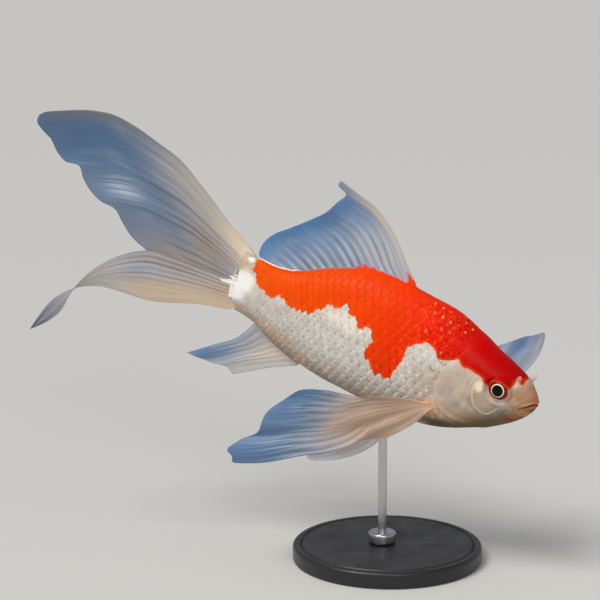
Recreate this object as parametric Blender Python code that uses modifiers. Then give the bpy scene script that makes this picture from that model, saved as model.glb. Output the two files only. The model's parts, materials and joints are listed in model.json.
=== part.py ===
"""A comet goldfish, red over white, swimming head down over a plain display stand.

The fish is modelled in its own straight frame, in millimetres: +X towards the snout, +Z towards the
back, +Y to its left, with the origin inside the trunk. Once its parts are cut they are bent sideways along
the body, and then tipped head down and raised over the stand. The finished model is in metres, +Z up,
standing at z = 0.
"""

import math

import bmesh
import bpy
import numpy as np
from mathutils import Matrix, Vector

MM = 0.001
GAP = 0.3  # left between parts that touch in life

# Pose of the fish over its stand
PITCH_DEG = 19.1  # head down
TRUNK_HEIGHT = 82.0  # the fish's origin above the floor
SIDE_BEND = 0.00117  # curvature per millimetre: snout and tail both swing to the fish's right

# Body, as sections measured backwards from the snout tip
SNOUT_X = 58.8
BODY_LENGTH = 119.5
TAIL_ROUNDING = 2.5
BACK_LINE = [
    (0, 1.2), (1.5, 4.6), (6, 8.1), (12, 10.5), (20, 13.0), (29, 16.6), (38, 19.4), (48, 20.3), (62, 20.9),
    (70, 20.2), (80, 17.3), (88, 13.9), (95, 10.2), (101, 7.9), (107, 7.4), (113, 8.2), (118, 9.5),
]
BELLY_LINE = [
    (0, 0.8), (1.2, -3.0), (8, -10.2), (18, -16.8), (36, -23.9), (54, -25.3), (68, -24.9), (79, -24.2),
    (98, -19.4), (108, -15.0), (118, -13.0),
]
HALF_WIDTH = [
    (0, 0.0), (1.5, 3.1), (4, 4.9), (8, 6.7), (15, 8.9), (25, 11.2), (36, 12.6), (50, 13.0), (62, 12.2),
    (75, 10.2), (88, 7.6), (100, 5.4), (110, 3.9), (118, 2.8),
]
WIDEST_HEIGHT = [
    (0, 1.0), (8, 0.0), (15, -1.0), (30, -4.0), (50, -5.0), (75, -4.8), (95, -4.2), (118, -1.9),
]
BODY_RINGS = 32
BODY_SIDES = 28
SNOUT_CROWDING = 0.35  # the share of the ring spacing that draws in towards the snout alone
END_CROWDING = 0.09  # how far the rest of it draws in towards both ends

# Head: where it ends, its gill covers and its lower jaw, as outlines seen from the side (x, z)
HEAD_REAR_STEPS = 14
HEAD_REAR = [
    (37.0, 27.0), (33.0, 15.0), (27.5, 6.5), (24.4, 0.5), (24.2, -5.0), (26.0, -10.0), (30.5, -14.0),
    (36.0, -17.0), (41.0, -21.0), (44.0, -28.0),
]
GILL_COVER_FRONT = [(31.5, 8.5), (35.5, 5.0), (37.2, 0.0), (38.0, -5.0), (37.4, -10.0), (35.4, -13.0)]
GILL_COVER_STEPS = 8
GILL_COVER_REAR_X = 15.0  # past the head's own edge, which ends the cover
GILL_COVER_DEPTH_Y = 5.5
MOUTH_FRONT = (60.0, 1.2)
MOUTH_CORNER = (55.4, -0.3)
JAW_REAR = [(52.6, -4.5), (49.0, -9.5), (46.5, -16.0)]
VENT_X = -26.5

# Eyes and nostril flaps
EYE_CENTRE = (45.5, 6.2, 2.4)
EYE_RADII = (4.4, 3.6, 4.4)
EYE_MESH = (18, 12)  # sides and rings
NOSTRIL_FLAPS = {"right": (50.9, -4.2, 7.6), "left": (53.0, 4.2, 7.4)}
NOSTRIL_FLAP_RADII = (1.0, 0.6, 1.9)
NOSTRIL_FLAP_LEAN_DEG = 20.0
NOSTRIL_FLAP_MESH = (10, 8)
SIDES = {"left": 1, "right": -1}  # the sign of y

# Fins
FIN_THICKNESS = 0.8

# Blocks that part the fish reach this far past it
REACH = 20.0

# Stand
BASE_RADIUS = 34.0
BASE_THICKNESS = 6.0
BASE_EDGE = 1.2
BASE_SIDES = 48
ROD_RADIUS = 1.6
ROD_X = -2.0
ROD_SIDES = 20
COLLAR_RADIUS = 5.0
COLLAR_HEIGHT = 4.0
COLLAR_BEVEL = 1.5
COLLAR_SIDES = 24

COLOURS = {  # name: (red, green, blue, roughness, metallic)
    "red_white_skin": (0.82, 0.12, 0.02, 0.35, 0.0),
    "fin_membrane": (0.55, 0.60, 0.68, 0.3, 0.0),
    "eye": (0.03, 0.02, 0.02, 0.05, 0.0),
    "stand_base": (0.02, 0.02, 0.022, 0.4, 0.0),
    "stand_metal": (0.62, 0.62, 0.63, 0.25, 1.0),
}


# ---------------------------------------------------------------- curves

def hermite(knots, values):
    """A smooth function through values at the knots, which may be numbers or points."""
    knots = np.asarray(knots, float)
    values = np.asarray(values, float)
    slopes = np.gradient(values, knots, axis=0)

    def at(where):
        i = int(np.clip(np.searchsorted(knots, where, "right") - 1, 0, len(knots) - 2))
        step = knots[i + 1] - knots[i]
        s = (where - knots[i]) / step
        return (values[i] * (1 + 2 * s) * (1 - s) ** 2 + values[i + 1] * s * s * (3 - 2 * s)
                + slopes[i] * step * s * (1 - s) ** 2 - slopes[i + 1] * step * s * s * (1 - s))

    return at


def curve_through(points):
    """A smooth curve through the points, run from 0 to 1 by length."""
    points = np.asarray(points, float)
    lengths = np.linalg.norm(np.diff(points, axis=0), axis=1)
    knots = np.concatenate([[0.0], np.cumsum(lengths)])
    return hermite(knots / knots[-1], points)


def profile(table):
    """A body size as a smooth function of the distance behind the snout, rising from it like a root."""
    smooth = hermite([math.sqrt(distance) for distance, _ in table], [value for _, value in table])
    return lambda distance: float(smooth(math.sqrt(distance)))


back_height = profile(BACK_LINE)
belly_height = profile(BELLY_LINE)
half_width = profile(HALF_WIDTH)
widest_height = profile(WIDEST_HEIGHT)


def body_point(share, angle, clearance=0.0):
    """A point on the body: share runs from snout to tail base, angle round the section from the back."""
    distance = BODY_LENGTH * share
    within = min(distance, BODY_LENGTH - TAIL_ROUNDING / 2)
    closing = 1.0
    if distance > BODY_LENGTH - TAIL_ROUNDING:
        past = (distance - BODY_LENGTH + TAIL_ROUNDING) / TAIL_ROUNDING
        closing = math.sqrt(max(0.0, 1.0 - past * past))
    middle = widest_height(within)
    above = (back_height(within) - middle) * closing + clearance
    below = (middle - belly_height(within)) * closing + clearance
    wide = half_width(within) * closing + clearance
    height = above if math.cos(angle) > 0 else below
    stretch = 1.0 + 2.0 * clearance / BODY_LENGTH
    x = SNOUT_X + clearance - distance * stretch
    return Vector((x, wide * math.sin(angle), middle + height * math.cos(angle)))


def side_bend(x):
    """How far the body's middle line lies to the side at x."""
    return -SIDE_BEND * x * x


# ---------------------------------------------------------------- making and cutting meshes

def material(name):
    """The named Principled material, made once."""
    found = bpy.data.materials.get(name)
    if found:
        return found
    red, green, blue, roughness, metallic = COLOURS[name]
    made = bpy.data.materials.new(name)
    made.use_nodes = True
    shader = made.node_tree.nodes["Principled BSDF"]
    shader.inputs["Base Color"].default_value = (red, green, blue, 1.0)
    shader.inputs["Roughness"].default_value = roughness
    shader.inputs["Metallic"].default_value = metallic
    return made


def object_from(bm, name, collection, material_name=None):
    """A new object from a bmesh in millimetres, in the given collection, scaled to metres."""
    mesh = bpy.data.meshes.new(name)
    bmesh.ops.scale(bm, vec=(MM, MM, MM), verts=bm.verts)
    bm.to_mesh(mesh)
    bm.free()
    made = bpy.data.objects.new(name, mesh)
    collection.objects.link(made)
    if material_name:
        mesh.materials.append(material(material_name))
    else:
        made.hide_render = True
        made.display_type = "WIRE"
    return made


def body(name, collection, material_name=None, clearance=0.0):
    """The whole body from snout to tail base: a sphere whose rings become the body's sections."""
    bm = bmesh.new()
    bmesh.ops.create_uvsphere(bm, u_segments=BODY_SIDES, v_segments=BODY_RINGS, radius=1.0)
    for vert in bm.verts:
        turn = math.acos(max(-1.0, min(1.0, vert.co.z))) / math.pi
        from_snout = 1.0 - math.cos(turn * math.pi / 2)
        from_both_ends = turn - END_CROWDING * math.sin(2 * math.pi * turn)
        share = SNOUT_CROWDING * from_snout + (1.0 - SNOUT_CROWDING) * from_both_ends
        vert.co = body_point(min(share, 1.0), math.atan2(vert.co.x, vert.co.y), clearance)
    bmesh.ops.recalc_face_normals(bm, faces=bm.faces)
    return object_from(bm, name, collection, material_name)


def prism(name, collection, outline, low_y, high_y):
    """A closed prism along Y with the given outline in the side view."""
    bm = bmesh.new()
    face = bm.faces.new([bm.verts.new((x, low_y, z)) for x, z in outline])
    side = bmesh.ops.extrude_face_region(bm, geom=[face])["geom"]
    moved = [v for v in side if isinstance(v, bmesh.types.BMVert)]
    bmesh.ops.translate(bm, vec=(0, high_y - low_y, 0), verts=moved)
    bmesh.ops.recalc_face_normals(bm, faces=bm.faces)
    return object_from(bm, name, collection)


def ellipsoid(name, collection, centre, radii, material_name=None, tilt=None, sides_rings=EYE_MESH):
    """A ball stretched to the given radii, tilted about its centre if a rotation is given."""
    sides, rings = sides_rings
    bm = bmesh.new()
    bmesh.ops.create_uvsphere(bm, u_segments=sides, v_segments=rings, radius=1.0)
    bmesh.ops.scale(bm, vec=radii, verts=bm.verts)
    if tilt:
        bmesh.ops.rotate(bm, matrix=tilt, cent=(0, 0, 0), verts=bm.verts)
    bmesh.ops.translate(bm, vec=centre, verts=bm.verts)
    return object_from(bm, name, collection, material_name)


def cut(obj, operation, cutter):
    """Adds an exact Boolean to the object."""
    modifier = obj.modifiers.new(f"{operation.lower()} {cutter.name}", "BOOLEAN")
    modifier.operation = operation
    modifier.object = cutter
    modifier.solver = "EXACT"


def sampled(points, steps):
    """Points read evenly along the smooth curve through a short outline."""
    along = curve_through(points)
    return [tuple(along(i / steps)) for i in range(steps + 1)]


def shifted(points, dx):
    """An outline moved along X."""
    return [(x + dx, z) for x, z in points]


# ---------------------------------------------------------------- flesh

def head_zone(name, helpers, dx=0.0):
    """All that lies ahead of the gill opening and the nape."""
    rear = shifted(sampled(HEAD_REAR, HEAD_REAR_STEPS), dx)
    ahead = SNOUT_X + REACH
    front = [(ahead, HEAD_REAR[-1][1]), (ahead, HEAD_REAR[0][1])]
    return prism(name, helpers, rear + front, -REACH, REACH)


def gill_zone(name, helpers, side, grow=0.0):
    """The block whose share of the head is one gill cover."""
    front = shifted(sampled(GILL_COVER_FRONT, GILL_COVER_STEPS), grow)
    low = GILL_COVER_FRONT[-1][1] - grow
    high = GILL_COVER_FRONT[0][1] + grow
    rear = [(GILL_COVER_REAR_X, low), (GILL_COVER_REAR_X, high)]
    inner = side * (GILL_COVER_DEPTH_Y - grow)
    outer = side * REACH
    return prism(name, helpers, front + rear, min(inner, outer), max(inner, outer))


def jaw_zone(name, helpers, grow=0.0):
    """The block whose share of the head is the lower jaw, under the mouth slit."""
    slit = [(MOUTH_FRONT[0], MOUTH_FRONT[1] + grow), (MOUTH_CORNER[0] - grow, MOUTH_CORNER[1] + grow)]
    rear = shifted(JAW_REAR, -grow)
    below = (SNOUT_X + REACH, JAW_REAR[-1][1])
    return prism(name, helpers, slit + rear + [below], -REACH, REACH)


def make_flesh(parts, helpers):
    """Head, lower jaw, gill covers, trunk and tail stalk: the body parted with thin cuts."""
    skin = "red_white_skin"
    head_block = head_zone("head_block", helpers)
    head = body("head", parts, skin)
    cut(head, "INTERSECT", head_block)
    cut(head, "DIFFERENCE", jaw_zone("jaw_clearance", helpers, GAP))
    x, y, z = EYE_CENTRE
    socket_radii = [radius + GAP for radius in EYE_RADII]
    for name, side in SIDES.items():
        cut(head, "DIFFERENCE", ellipsoid(f"eye_socket_{name}", helpers, (x, side * y, z), socket_radii))

    jaw = body("lower_jaw", parts, skin)
    cut(jaw, "INTERSECT", jaw_zone("jaw_block", helpers))

    covers = []
    for name, side in SIDES.items():
        cut(head, "DIFFERENCE", gill_zone(f"gill_clearance_{name}", helpers, side, GAP))
        cover = body(f"gill_cover_{name}", parts, skin)
        cut(cover, "INTERSECT", head_block)
        cut(cover, "INTERSECT", gill_zone(f"gill_block_{name}", helpers, side))
        covers.append(cover)

    behind = SNOUT_X - BODY_LENGTH - REACH
    vent = [(VENT_X, -2 * REACH), (VENT_X, 2 * REACH), (behind, 2 * REACH), (behind, -2 * REACH)]
    trunk = body("trunk", parts, skin)
    cut(trunk, "DIFFERENCE", head_zone("head_clearance", helpers, -GAP))
    cut(trunk, "DIFFERENCE", prism("stalk_clearance", helpers, shifted(vent, GAP), -REACH, REACH))

    stalk = body("tail_stalk", parts, skin)
    cut(stalk, "INTERSECT", prism("stalk_block", helpers, vent, -REACH, REACH))
    return [head, jaw, trunk, stalk] + covers


def make_eyes_and_flaps(parts, helpers, clearance_body):
    """Both eyes in their sockets and the fleshy flap at each nostril."""
    made = []
    x, y, z = EYE_CENTRE
    for name, side in SIDES.items():
        made.append(ellipsoid(f"eye_{name}", parts, (x, side * y, z), EYE_RADII, "eye"))
        outwards = Matrix.Rotation(math.radians(-NOSTRIL_FLAP_LEAN_DEG * side), 3, "X")
        forwards = Matrix.Rotation(math.radians(NOSTRIL_FLAP_LEAN_DEG), 3, "Y")
        flap = ellipsoid(f"nostril_flap_{name}", parts, NOSTRIL_FLAPS[name], NOSTRIL_FLAP_RADII,
                         "red_white_skin", tilt=outwards @ forwards, sides_rings=NOSTRIL_FLAP_MESH)
        cut(flap, "DIFFERENCE", clearance_body)
        made.append(flap)
    return made


# ---------------------------------------------------------------- fins

def patch(front, rear, root, rim, waves=(0.0, 0.0, 0.0)):
    """A fin's surface between four edges, as a function of (across, out) from 0 to 1.

    front and rear run from the root to the rim along the first and last ray, root and rim run from the front
    to the rear. waves is (height, count, phase) of the soft folds that grow towards the rim."""
    front, rear, root, rim = (curve_through(edge) for edge in (front, rear, root, rim))
    height, count, phase = waves

    def at(across, out):
        between_rays = (1 - across) * front(out) + across * rear(out)
        from_root_to_rim = (1 - out) * root(across) + out * rim(across)
        corners = ((1 - across) * (1 - out) * root(0) + across * (1 - out) * root(1)
                   + (1 - across) * out * rim(0) + across * out * rim(1))
        point = between_rays + from_root_to_rim - corners
        fold = math.sin(math.pi * across) * math.sin(2 * math.pi * (count * across + phase))
        point[1] += height * out * out * fold
        return Vector(point)

    return at


def fin(name, parts, surface, cutter, across_steps, out_steps):
    """A thin fin on the patch, cut back from the body."""
    bm = bmesh.new()
    bmesh.ops.create_grid(bm, x_segments=across_steps, y_segments=out_steps, size=1.0)
    for vert in bm.verts:
        vert.co = surface((vert.co.x + 1) / 2, (vert.co.y + 1) / 2)
    made = object_from(bm, name, parts, "fin_membrane")
    shell = made.modifiers.new("thickness", "SOLIDIFY")
    shell.thickness = FIN_THICKNESS * MM
    shell.offset = 0.0
    cut(made, "DIFFERENCE", cutter)
    return made


def dorsal_fin():
    """Tall in front with a hooked tip, its rear lobe lying along the back."""
    return patch(
        front=[
            (3.3, 0, 16.0), (3.3, 0, 20.6), (-2.7, 0, 27.4), (-7.9, 0.1, 33.2), (-14.2, 0.3, 38.6),
            (-20.5, 0.6, 42.1), (-26.9, 0.6, 43.7), (-34.7, -0.5, 46.3),
        ],
        rear=[(-38.0, 0, 3.5), (-46.0, 0, 5.0), (-51.5, 0.2, 6.8), (-54.8, 0.8, 11.0)],
        root=[(3.3, 0, 16.0), (-12.0, 0, 15.5), (-26.0, 0, 9.5), (-38.0, 0, 3.5)],
        rim=[
            (-34.7, -0.5, 46.3), (-35.1, -0.5, 44.6), (-31.6, 0, 42.0), (-33.6, 0.6, 38.3),
            (-36.1, 1.2, 33.7), (-41.4, 1.8, 28.0), (-47.5, 2.2, 22.3), (-52.7, 1.8, 17.5),
            (-54.8, 0.8, 11.0),
        ],
        waves=(1.0, 2.5, 0.1),
    )


def upper_tail_lobe():
    """The long upper half of the tail fin, with a scalloped hind edge."""
    return patch(
        front=[
            (-52.0, 0, 6.0), (-58.3, 0, 10.9), (-68.0, 0.2, 16.7), (-82.5, 0.5, 26.4),
            (-91.9, 0.8, 32.1), (-100.2, 1.0, 34.6), (-115.9, 0.8, 38.4), (-124.0, 0.3, 38.7),
            (-135.8, -1.0, 34.9), (-141.3, -2.0, 30.2),
        ],
        rear=[
            (-52.0, 0, -2.8), (-60.8, 0, -3.0), (-73.4, 0.3, -2.9), (-85.2, 1.0, -2.9),
            (-93.6, 1.5, -3.7),
        ],
        root=[(-52.0, 0, 6.0), (-52.0, 0, -2.8)],
        rim=[
            (-141.3, -2.0, 30.2), (-140.4, -2.2, 27.0), (-135.7, -2.5, 24.1), (-132.1, -2.8, 20.6),
            (-128.2, -2.8, 18.4), (-123.2, -2.0, 18.4), (-121.0, -1.0, 14.1), (-114.0, 1.0, 6.9),
            (-109.6, 1.8, 5.7), (-105.8, 2.3, 1.9), (-101.4, 2.3, -1.6), (-93.6, 1.5, -3.7),
        ],
        waves=(3.0, 1.6, 0.05),
    )


def lower_tail_lobe():
    """The narrow lower half, which turns over on itself near its tip."""
    return patch(
        front=[
            (-52.0, 0, -3.4), (-60.4, 0, -3.6), (-73.2, 0.3, -3.6), (-85.0, 1.0, -3.7),
            (-93.7, 1.5, -4.7), (-99.7, 0.2, -7.8), (-105.8, -1.8, -13.3), (-109.4, -3.6, -18.7),
            (-112.4, -4.2, -25.8), (-116.7, -0.4, -38.6), (-119.9, 1.2, -43.2), (-125.0, 2.6, -48.4),
        ],
        rear=[
            (-52.0, 0, -10.5), (-57.9, 0, -13.6), (-67.4, 0.2, -15.8), (-89.1, 1.4, -22.6),
            (-98.9, 2.4, -23.4), (-106.6, 3.3, -24.5), (-112.7, 4.2, -27.0), (-117.1, 4.9, -30.1),
            (-121.4, 5.0, -35.0), (-125.0, 3.9, -44.5), (-126.0, 3.2, -49.2),
        ],
        root=[(-52.0, 0, -3.4), (-52.0, 0, -10.5)],
        rim=[(-125.0, 2.6, -48.4), (-126.0, 3.2, -49.2)],
        waves=(0.8, 1.5, 0.2),
    )


def anal_fin():
    """Swept back below the tail stalk to a long point."""
    return patch(
        front=[
            (-28.5, 0, -18.5), (-28.2, 0, -23.6), (-31.5, -0.2, -25.4), (-37.4, -0.5, -28.5),
            (-43.8, -1.0, -32.5), (-49.3, -1.4, -36.0),
        ],
        rear=[
            (-46.5, 0, -12.0), (-48.5, 0, -15.8), (-53.4, 0.7, -23.6), (-59.8, 1.1, -28.8),
            (-68.8, 1.6, -36.1),
        ],
        root=[(-28.5, 0, -18.5), (-37.5, 0, -15.4), (-46.5, 0, -12.0)],
        rim=[(-49.3, -1.4, -36.0), (-52.2, -0.8, -34.8), (-60.1, 0.6, -35.9), (-68.8, 1.6, -36.1)],
        waves=(0.6, 2.0, 0.0),
    )


def right_pectoral_fin():
    """Held back and out, its rays spread downwards."""
    return patch(
        front=[
            (25.5, -8.2, -11.4), (23.7, -11.6, -11.9), (18.0, -16.0, -12.2), (12.7, -20.0, -12.9),
            (7.5, -24.0, -13.8), (2.3, -28.0, -15.7), (-2.3, -31.5, -18.3), (-8.2, -34.3, -24.9),
        ],
        rear=[
            (27.5, -7.8, -14.0), (26.0, -11.2, -14.0), (22.6, -16.0, -20.6), (19.9, -18.0, -24.1),
            (16.5, -20.0, -27.9),
        ],
        root=[(25.5, -8.2, -11.4), (27.5, -7.8, -14.0)],
        rim=[
            (-8.2, -34.3, -24.9), (-8.3, -34.2, -26.9), (-6.3, -33.0, -29.8), (-2.1, -31.0, -32.0),
            (4.4, -27.0, -31.6), (10.4, -23.5, -30.2), (16.5, -20.0, -27.9),
        ],
        waves=(1.6, 2.5, 0.0),
    )


def left_pectoral_fin():
    """Reached out, up and forward on the far side of the head."""
    return patch(
        front=[
            (27.5, 7.8, -14.5), (28.5, 10.6, -14.8), (36.0, 20.0, -9.5), (44.0, 28.5, -1.0),
            (45.4, 36.0, 4.3), (43.9, 46.5, 9.7),
        ],
        rear=[(25.0, 8.0, -11.5), (25.0, 11.8, -11.0), (27.5, 17.0, -4.5), (32.6, 22.0, 5.7)],
        root=[(27.5, 7.8, -14.5), (25.0, 8.0, -11.5)],
        rim=[
            (43.9, 46.5, 9.7), (42.5, 46.0, 10.6), (39.4, 40.0, 9.9), (36.5, 32.0, 8.4),
            (32.6, 22.0, 5.7),
        ],
        waves=(1.0, 2.0, 0.3),
    )


def right_pelvic_fin():
    """Trails back and out under the belly, its outer edge notched near the tip."""
    return patch(
        front=[
            (8.0, -3.4, -19.5), (7.0, -5.2, -25.0), (7.9, -12.0, -30.3), (5.8, -18.0, -34.7),
            (-0.3, -23.0, -39.7), (-8.1, -26.5, -43.8), (-20.3, -29.8, -51.4), (-27.5, -30.6, -54.7),
        ],
        rear=[
            (2.5, -3.4, -19.5), (-1.5, -4.6, -25.0), (-7.0, -6.6, -25.2), (-12.8, -10.0, -24.8),
            (-20.0, -15.0, -26.7),
        ],
        root=[(8.0, -3.4, -19.5), (2.5, -3.4, -19.5)],
        rim=[
            (-27.5, -30.6, -54.7), (-30.7, -31.0, -54.6), (-32.6, -31.0, -51.8), (-30.3, -29.5, -47.7),
            (-26.3, -26.5, -42.6), (-26.4, -22.5, -35.5), (-23.6, -19.0, -30.8), (-20.0, -15.0, -26.7),
        ],
        waves=(1.6, 2.0, 0.6),
    )


def left_pelvic_fin():
    """The other pelvic fin, spread lower."""
    return patch(
        front=[
            (8.0, 3.4, -19.5), (7.6, 4.8, -25.8), (8.0, 9.0, -35.3), (6.2, 12.0, -41.8),
            (0.5, 17.0, -51.0), (-9.2, 21.0, -60.0), (-18.3, 24.4, -65.5),
        ],
        rear=[(2.5, 3.4, -19.5), (0.5, 4.6, -26.4), (-2.5, 7.0, -35.0), (-6.3, 12.0, -46.0)],
        root=[(8.0, 3.4, -19.5), (2.5, 3.4, -19.5)],
        rim=[
            (-18.3, 24.4, -65.5), (-20.6, 25.0, -65.6), (-19.3, 23.0, -62.3), (-13.9, 18.5, -55.6),
            (-6.3, 12.0, -46.0),
        ],
        waves=(1.2, 2.0, 0.2),
    )


FINS = {  # name: (surface, steps across the rays, steps along them)
    "fin_dorsal": (dorsal_fin, 14, 8),
    "fin_tail_upper": (upper_tail_lobe, 20, 11),
    "fin_tail_lower": (lower_tail_lobe, 6, 20),
    "fin_anal": (anal_fin, 8, 7),
    "fin_pectoral_right": (right_pectoral_fin, 9, 9),
    "fin_pectoral_left": (left_pectoral_fin, 9, 9),
    "fin_pelvic_right": (right_pelvic_fin, 12, 9),
    "fin_pelvic_left": (left_pelvic_fin, 9, 9),
}


# ---------------------------------------------------------------- pose and stand

def bend_sideways(mesh):
    """Swings each point of a mesh to the side by the bend at its place along the body."""
    for vert in mesh.vertices:
        vert.co.y += side_bend(vert.co.x / MM) * MM


def bend_and_pose(objects):
    """Makes each object's cut shape its mesh, bends it sideways, and hangs it head down over the stand."""
    stance = bpy.data.objects.new("fish_pose", None)
    bpy.context.scene.collection.objects.link(stance)
    stance.location = (0, 0, TRUNK_HEIGHT * MM)
    stance.rotation_euler = (0, math.radians(PITCH_DEG), 0)
    graph = bpy.context.evaluated_depsgraph_get()
    meshes = [bpy.data.meshes.new_from_object(obj.evaluated_get(graph)) for obj in objects]
    for obj, mesh in zip(objects, meshes):
        bend_sideways(mesh)
        obj.modifiers.clear()
        obj.data = mesh
        obj.parent = stance


def cylinder(name, parts, radius, bottom, top, x, sides, material_name):
    """An upright cylinder standing over (x, 0)."""
    bm = bmesh.new()
    bmesh.ops.create_cone(bm, cap_ends=True, segments=sides, radius1=radius, radius2=radius,
                          depth=top - bottom)
    bmesh.ops.translate(bm, vec=(x, 0, (bottom + top) / 2), verts=bm.verts)
    return object_from(bm, name, parts, material_name)


def make_collar(parts):
    """A ring with a bevelled shoulder round the foot of the rod."""
    inner = ROD_RADIUS + GAP
    bottom = BASE_THICKNESS + GAP
    top = bottom + COLLAR_HEIGHT
    section = [
        (inner, top), (COLLAR_RADIUS - COLLAR_BEVEL, top), (COLLAR_RADIUS, top - COLLAR_BEVEL),
        (COLLAR_RADIUS, bottom), (inner, bottom),
    ]
    bm = bmesh.new()
    corners = [bm.verts.new((radius, 0, height)) for radius, height in section]
    for i, corner in enumerate(corners):
        bm.edges.new((corner, corners[(i + 1) % len(corners)]))
    collar = object_from(bm, "stand_collar", parts, "stand_metal")
    collar.location.x = ROD_X * MM
    turned = collar.modifiers.new("turned", "SCREW")
    turned.steps = COLLAR_SIDES
    turned.render_steps = COLLAR_SIDES
    turned.use_merge_vertices = True
    turned.merge_threshold = 0.00001


def make_stand(parts, clearance_body):
    """A round base, a collar and a slim rod up to the belly."""
    base = cylinder("stand_base", parts, BASE_RADIUS, 0.0, BASE_THICKNESS, 0.0, BASE_SIDES, "stand_base")
    edge = base.modifiers.new("edge", "BEVEL")
    edge.width = BASE_EDGE * MM
    edge.segments = 2
    edge.limit_method = "ANGLE"
    make_collar(parts)
    foot = BASE_THICKNESS + GAP
    rod = cylinder("stand_rod", parts, ROD_RADIUS, foot, TRUNK_HEIGHT, ROD_X, ROD_SIDES, "stand_metal")
    cut(rod, "DIFFERENCE", clearance_body)


def new_collection(name):
    """A collection in the scene."""
    made = bpy.data.collections.new(name)
    bpy.context.scene.collection.children.link(made)
    return made


def main():
    """Builds the goldfish and its stand."""
    for obj in list(bpy.data.objects):
        bpy.data.objects.remove(obj)
    parts = new_collection("goldfish")
    helpers = new_collection("cutters")
    helpers.hide_render = True
    clearance_body = body("body_clearance", helpers, clearance=GAP)
    fish = make_flesh(parts, helpers)
    fish += make_eyes_and_flaps(parts, helpers, clearance_body)
    for name, (surface, across_steps, out_steps) in FINS.items():
        fish.append(fin(name, parts, surface(), clearance_body, across_steps, out_steps))
    bend_and_pose(fish + [clearance_body])
    make_stand(parts, clearance_body)
    for obj in parts.objects:
        obj.data.shade_smooth()
        obj.data.set_sharp_from_angle(angle=math.radians(40))


main()
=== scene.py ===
"""A red and white comet goldfish on a display stand: its finished surfaces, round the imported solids.

The fish is shaped in its own straight frame, in millimetres: +X towards the snout, +Y to its left and +Z
towards the back. Stance then bends it sideways, tips it head down, raises it over the stand and turns
millimetres into metres. Every finished mesh holds its own place, and its object sits at the origin.
"""

from __future__ import annotations

import json
import logging
import math
from dataclasses import dataclass
from enum import Enum

import bmesh
import bpy
import numpy as np
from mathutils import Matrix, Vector

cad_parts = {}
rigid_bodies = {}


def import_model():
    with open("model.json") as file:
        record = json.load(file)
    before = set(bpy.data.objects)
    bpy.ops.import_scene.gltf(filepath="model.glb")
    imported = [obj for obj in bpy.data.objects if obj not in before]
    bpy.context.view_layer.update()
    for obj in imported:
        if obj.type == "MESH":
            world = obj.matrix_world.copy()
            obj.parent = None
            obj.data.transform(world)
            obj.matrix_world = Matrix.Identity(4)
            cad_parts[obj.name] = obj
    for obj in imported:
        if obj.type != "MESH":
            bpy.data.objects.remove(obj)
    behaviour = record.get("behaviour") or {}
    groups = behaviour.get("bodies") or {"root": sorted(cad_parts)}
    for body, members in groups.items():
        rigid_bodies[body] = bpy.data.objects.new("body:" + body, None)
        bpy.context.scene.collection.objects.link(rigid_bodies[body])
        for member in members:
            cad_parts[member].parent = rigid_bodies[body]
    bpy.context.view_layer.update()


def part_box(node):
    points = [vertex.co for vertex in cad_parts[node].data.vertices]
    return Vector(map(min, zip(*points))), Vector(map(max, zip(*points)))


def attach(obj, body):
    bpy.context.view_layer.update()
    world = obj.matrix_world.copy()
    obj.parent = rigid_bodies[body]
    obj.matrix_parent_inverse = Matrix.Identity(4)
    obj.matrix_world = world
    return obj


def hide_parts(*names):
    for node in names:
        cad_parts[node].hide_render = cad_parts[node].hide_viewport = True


LOG = logging.getLogger("goldfish")
MM = 0.001
UV_ROOM = 1.02  # how much taller the flat skin's map is than the skin laid out on it
FAR = 99.0  # stands for "nowhere near", in millimetres

Array = np.ndarray
Mesh = bpy.types.Mesh
Piece = bpy.types.Object
Material = bpy.types.Material
Node = bpy.types.Node
Socket = bpy.types.NodeSocket
Place = tuple[float, float]
Spot = tuple[float, float, float]
Colour = tuple[float, float, float]
Shade = tuple[int, int, int]  # a colour in display values of 0 to 255


class Side(Enum):
    """The fish's two sides, as the sign of y."""

    RIGHT = -1
    LEFT = 1


# ---- curves and distances


def smoothstep(value: Array, start: Array | float = 0, width: Array | float = 1) -> Array:
    """Nought up to start, one from start + width on, and a smooth rise between."""
    t = np.clip((value - start) / width, 0, 1)
    return t * t * (3 - 2 * t)


def bump(value: Array) -> Array:
    """A bell that is one at 0 and has faded out by 2."""
    return np.exp(-value * value)


def points_from(*columns: Array) -> Array:
    """Points whose coordinates are the given arrays."""
    return np.stack(columns, axis=-1)


def wrapped(angle: Array) -> Array:
    """An angle brought between minus half a turn and half a turn."""
    return (angle + math.pi) % math.tau - math.pi


def fade_ends(passed: Array, fades: Place) -> Array:
    """One along a line, and fading to nought over a share of its length at either end."""
    return smoothstep(passed / fades[0]) * smoothstep((1 - passed) / fades[1])


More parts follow.
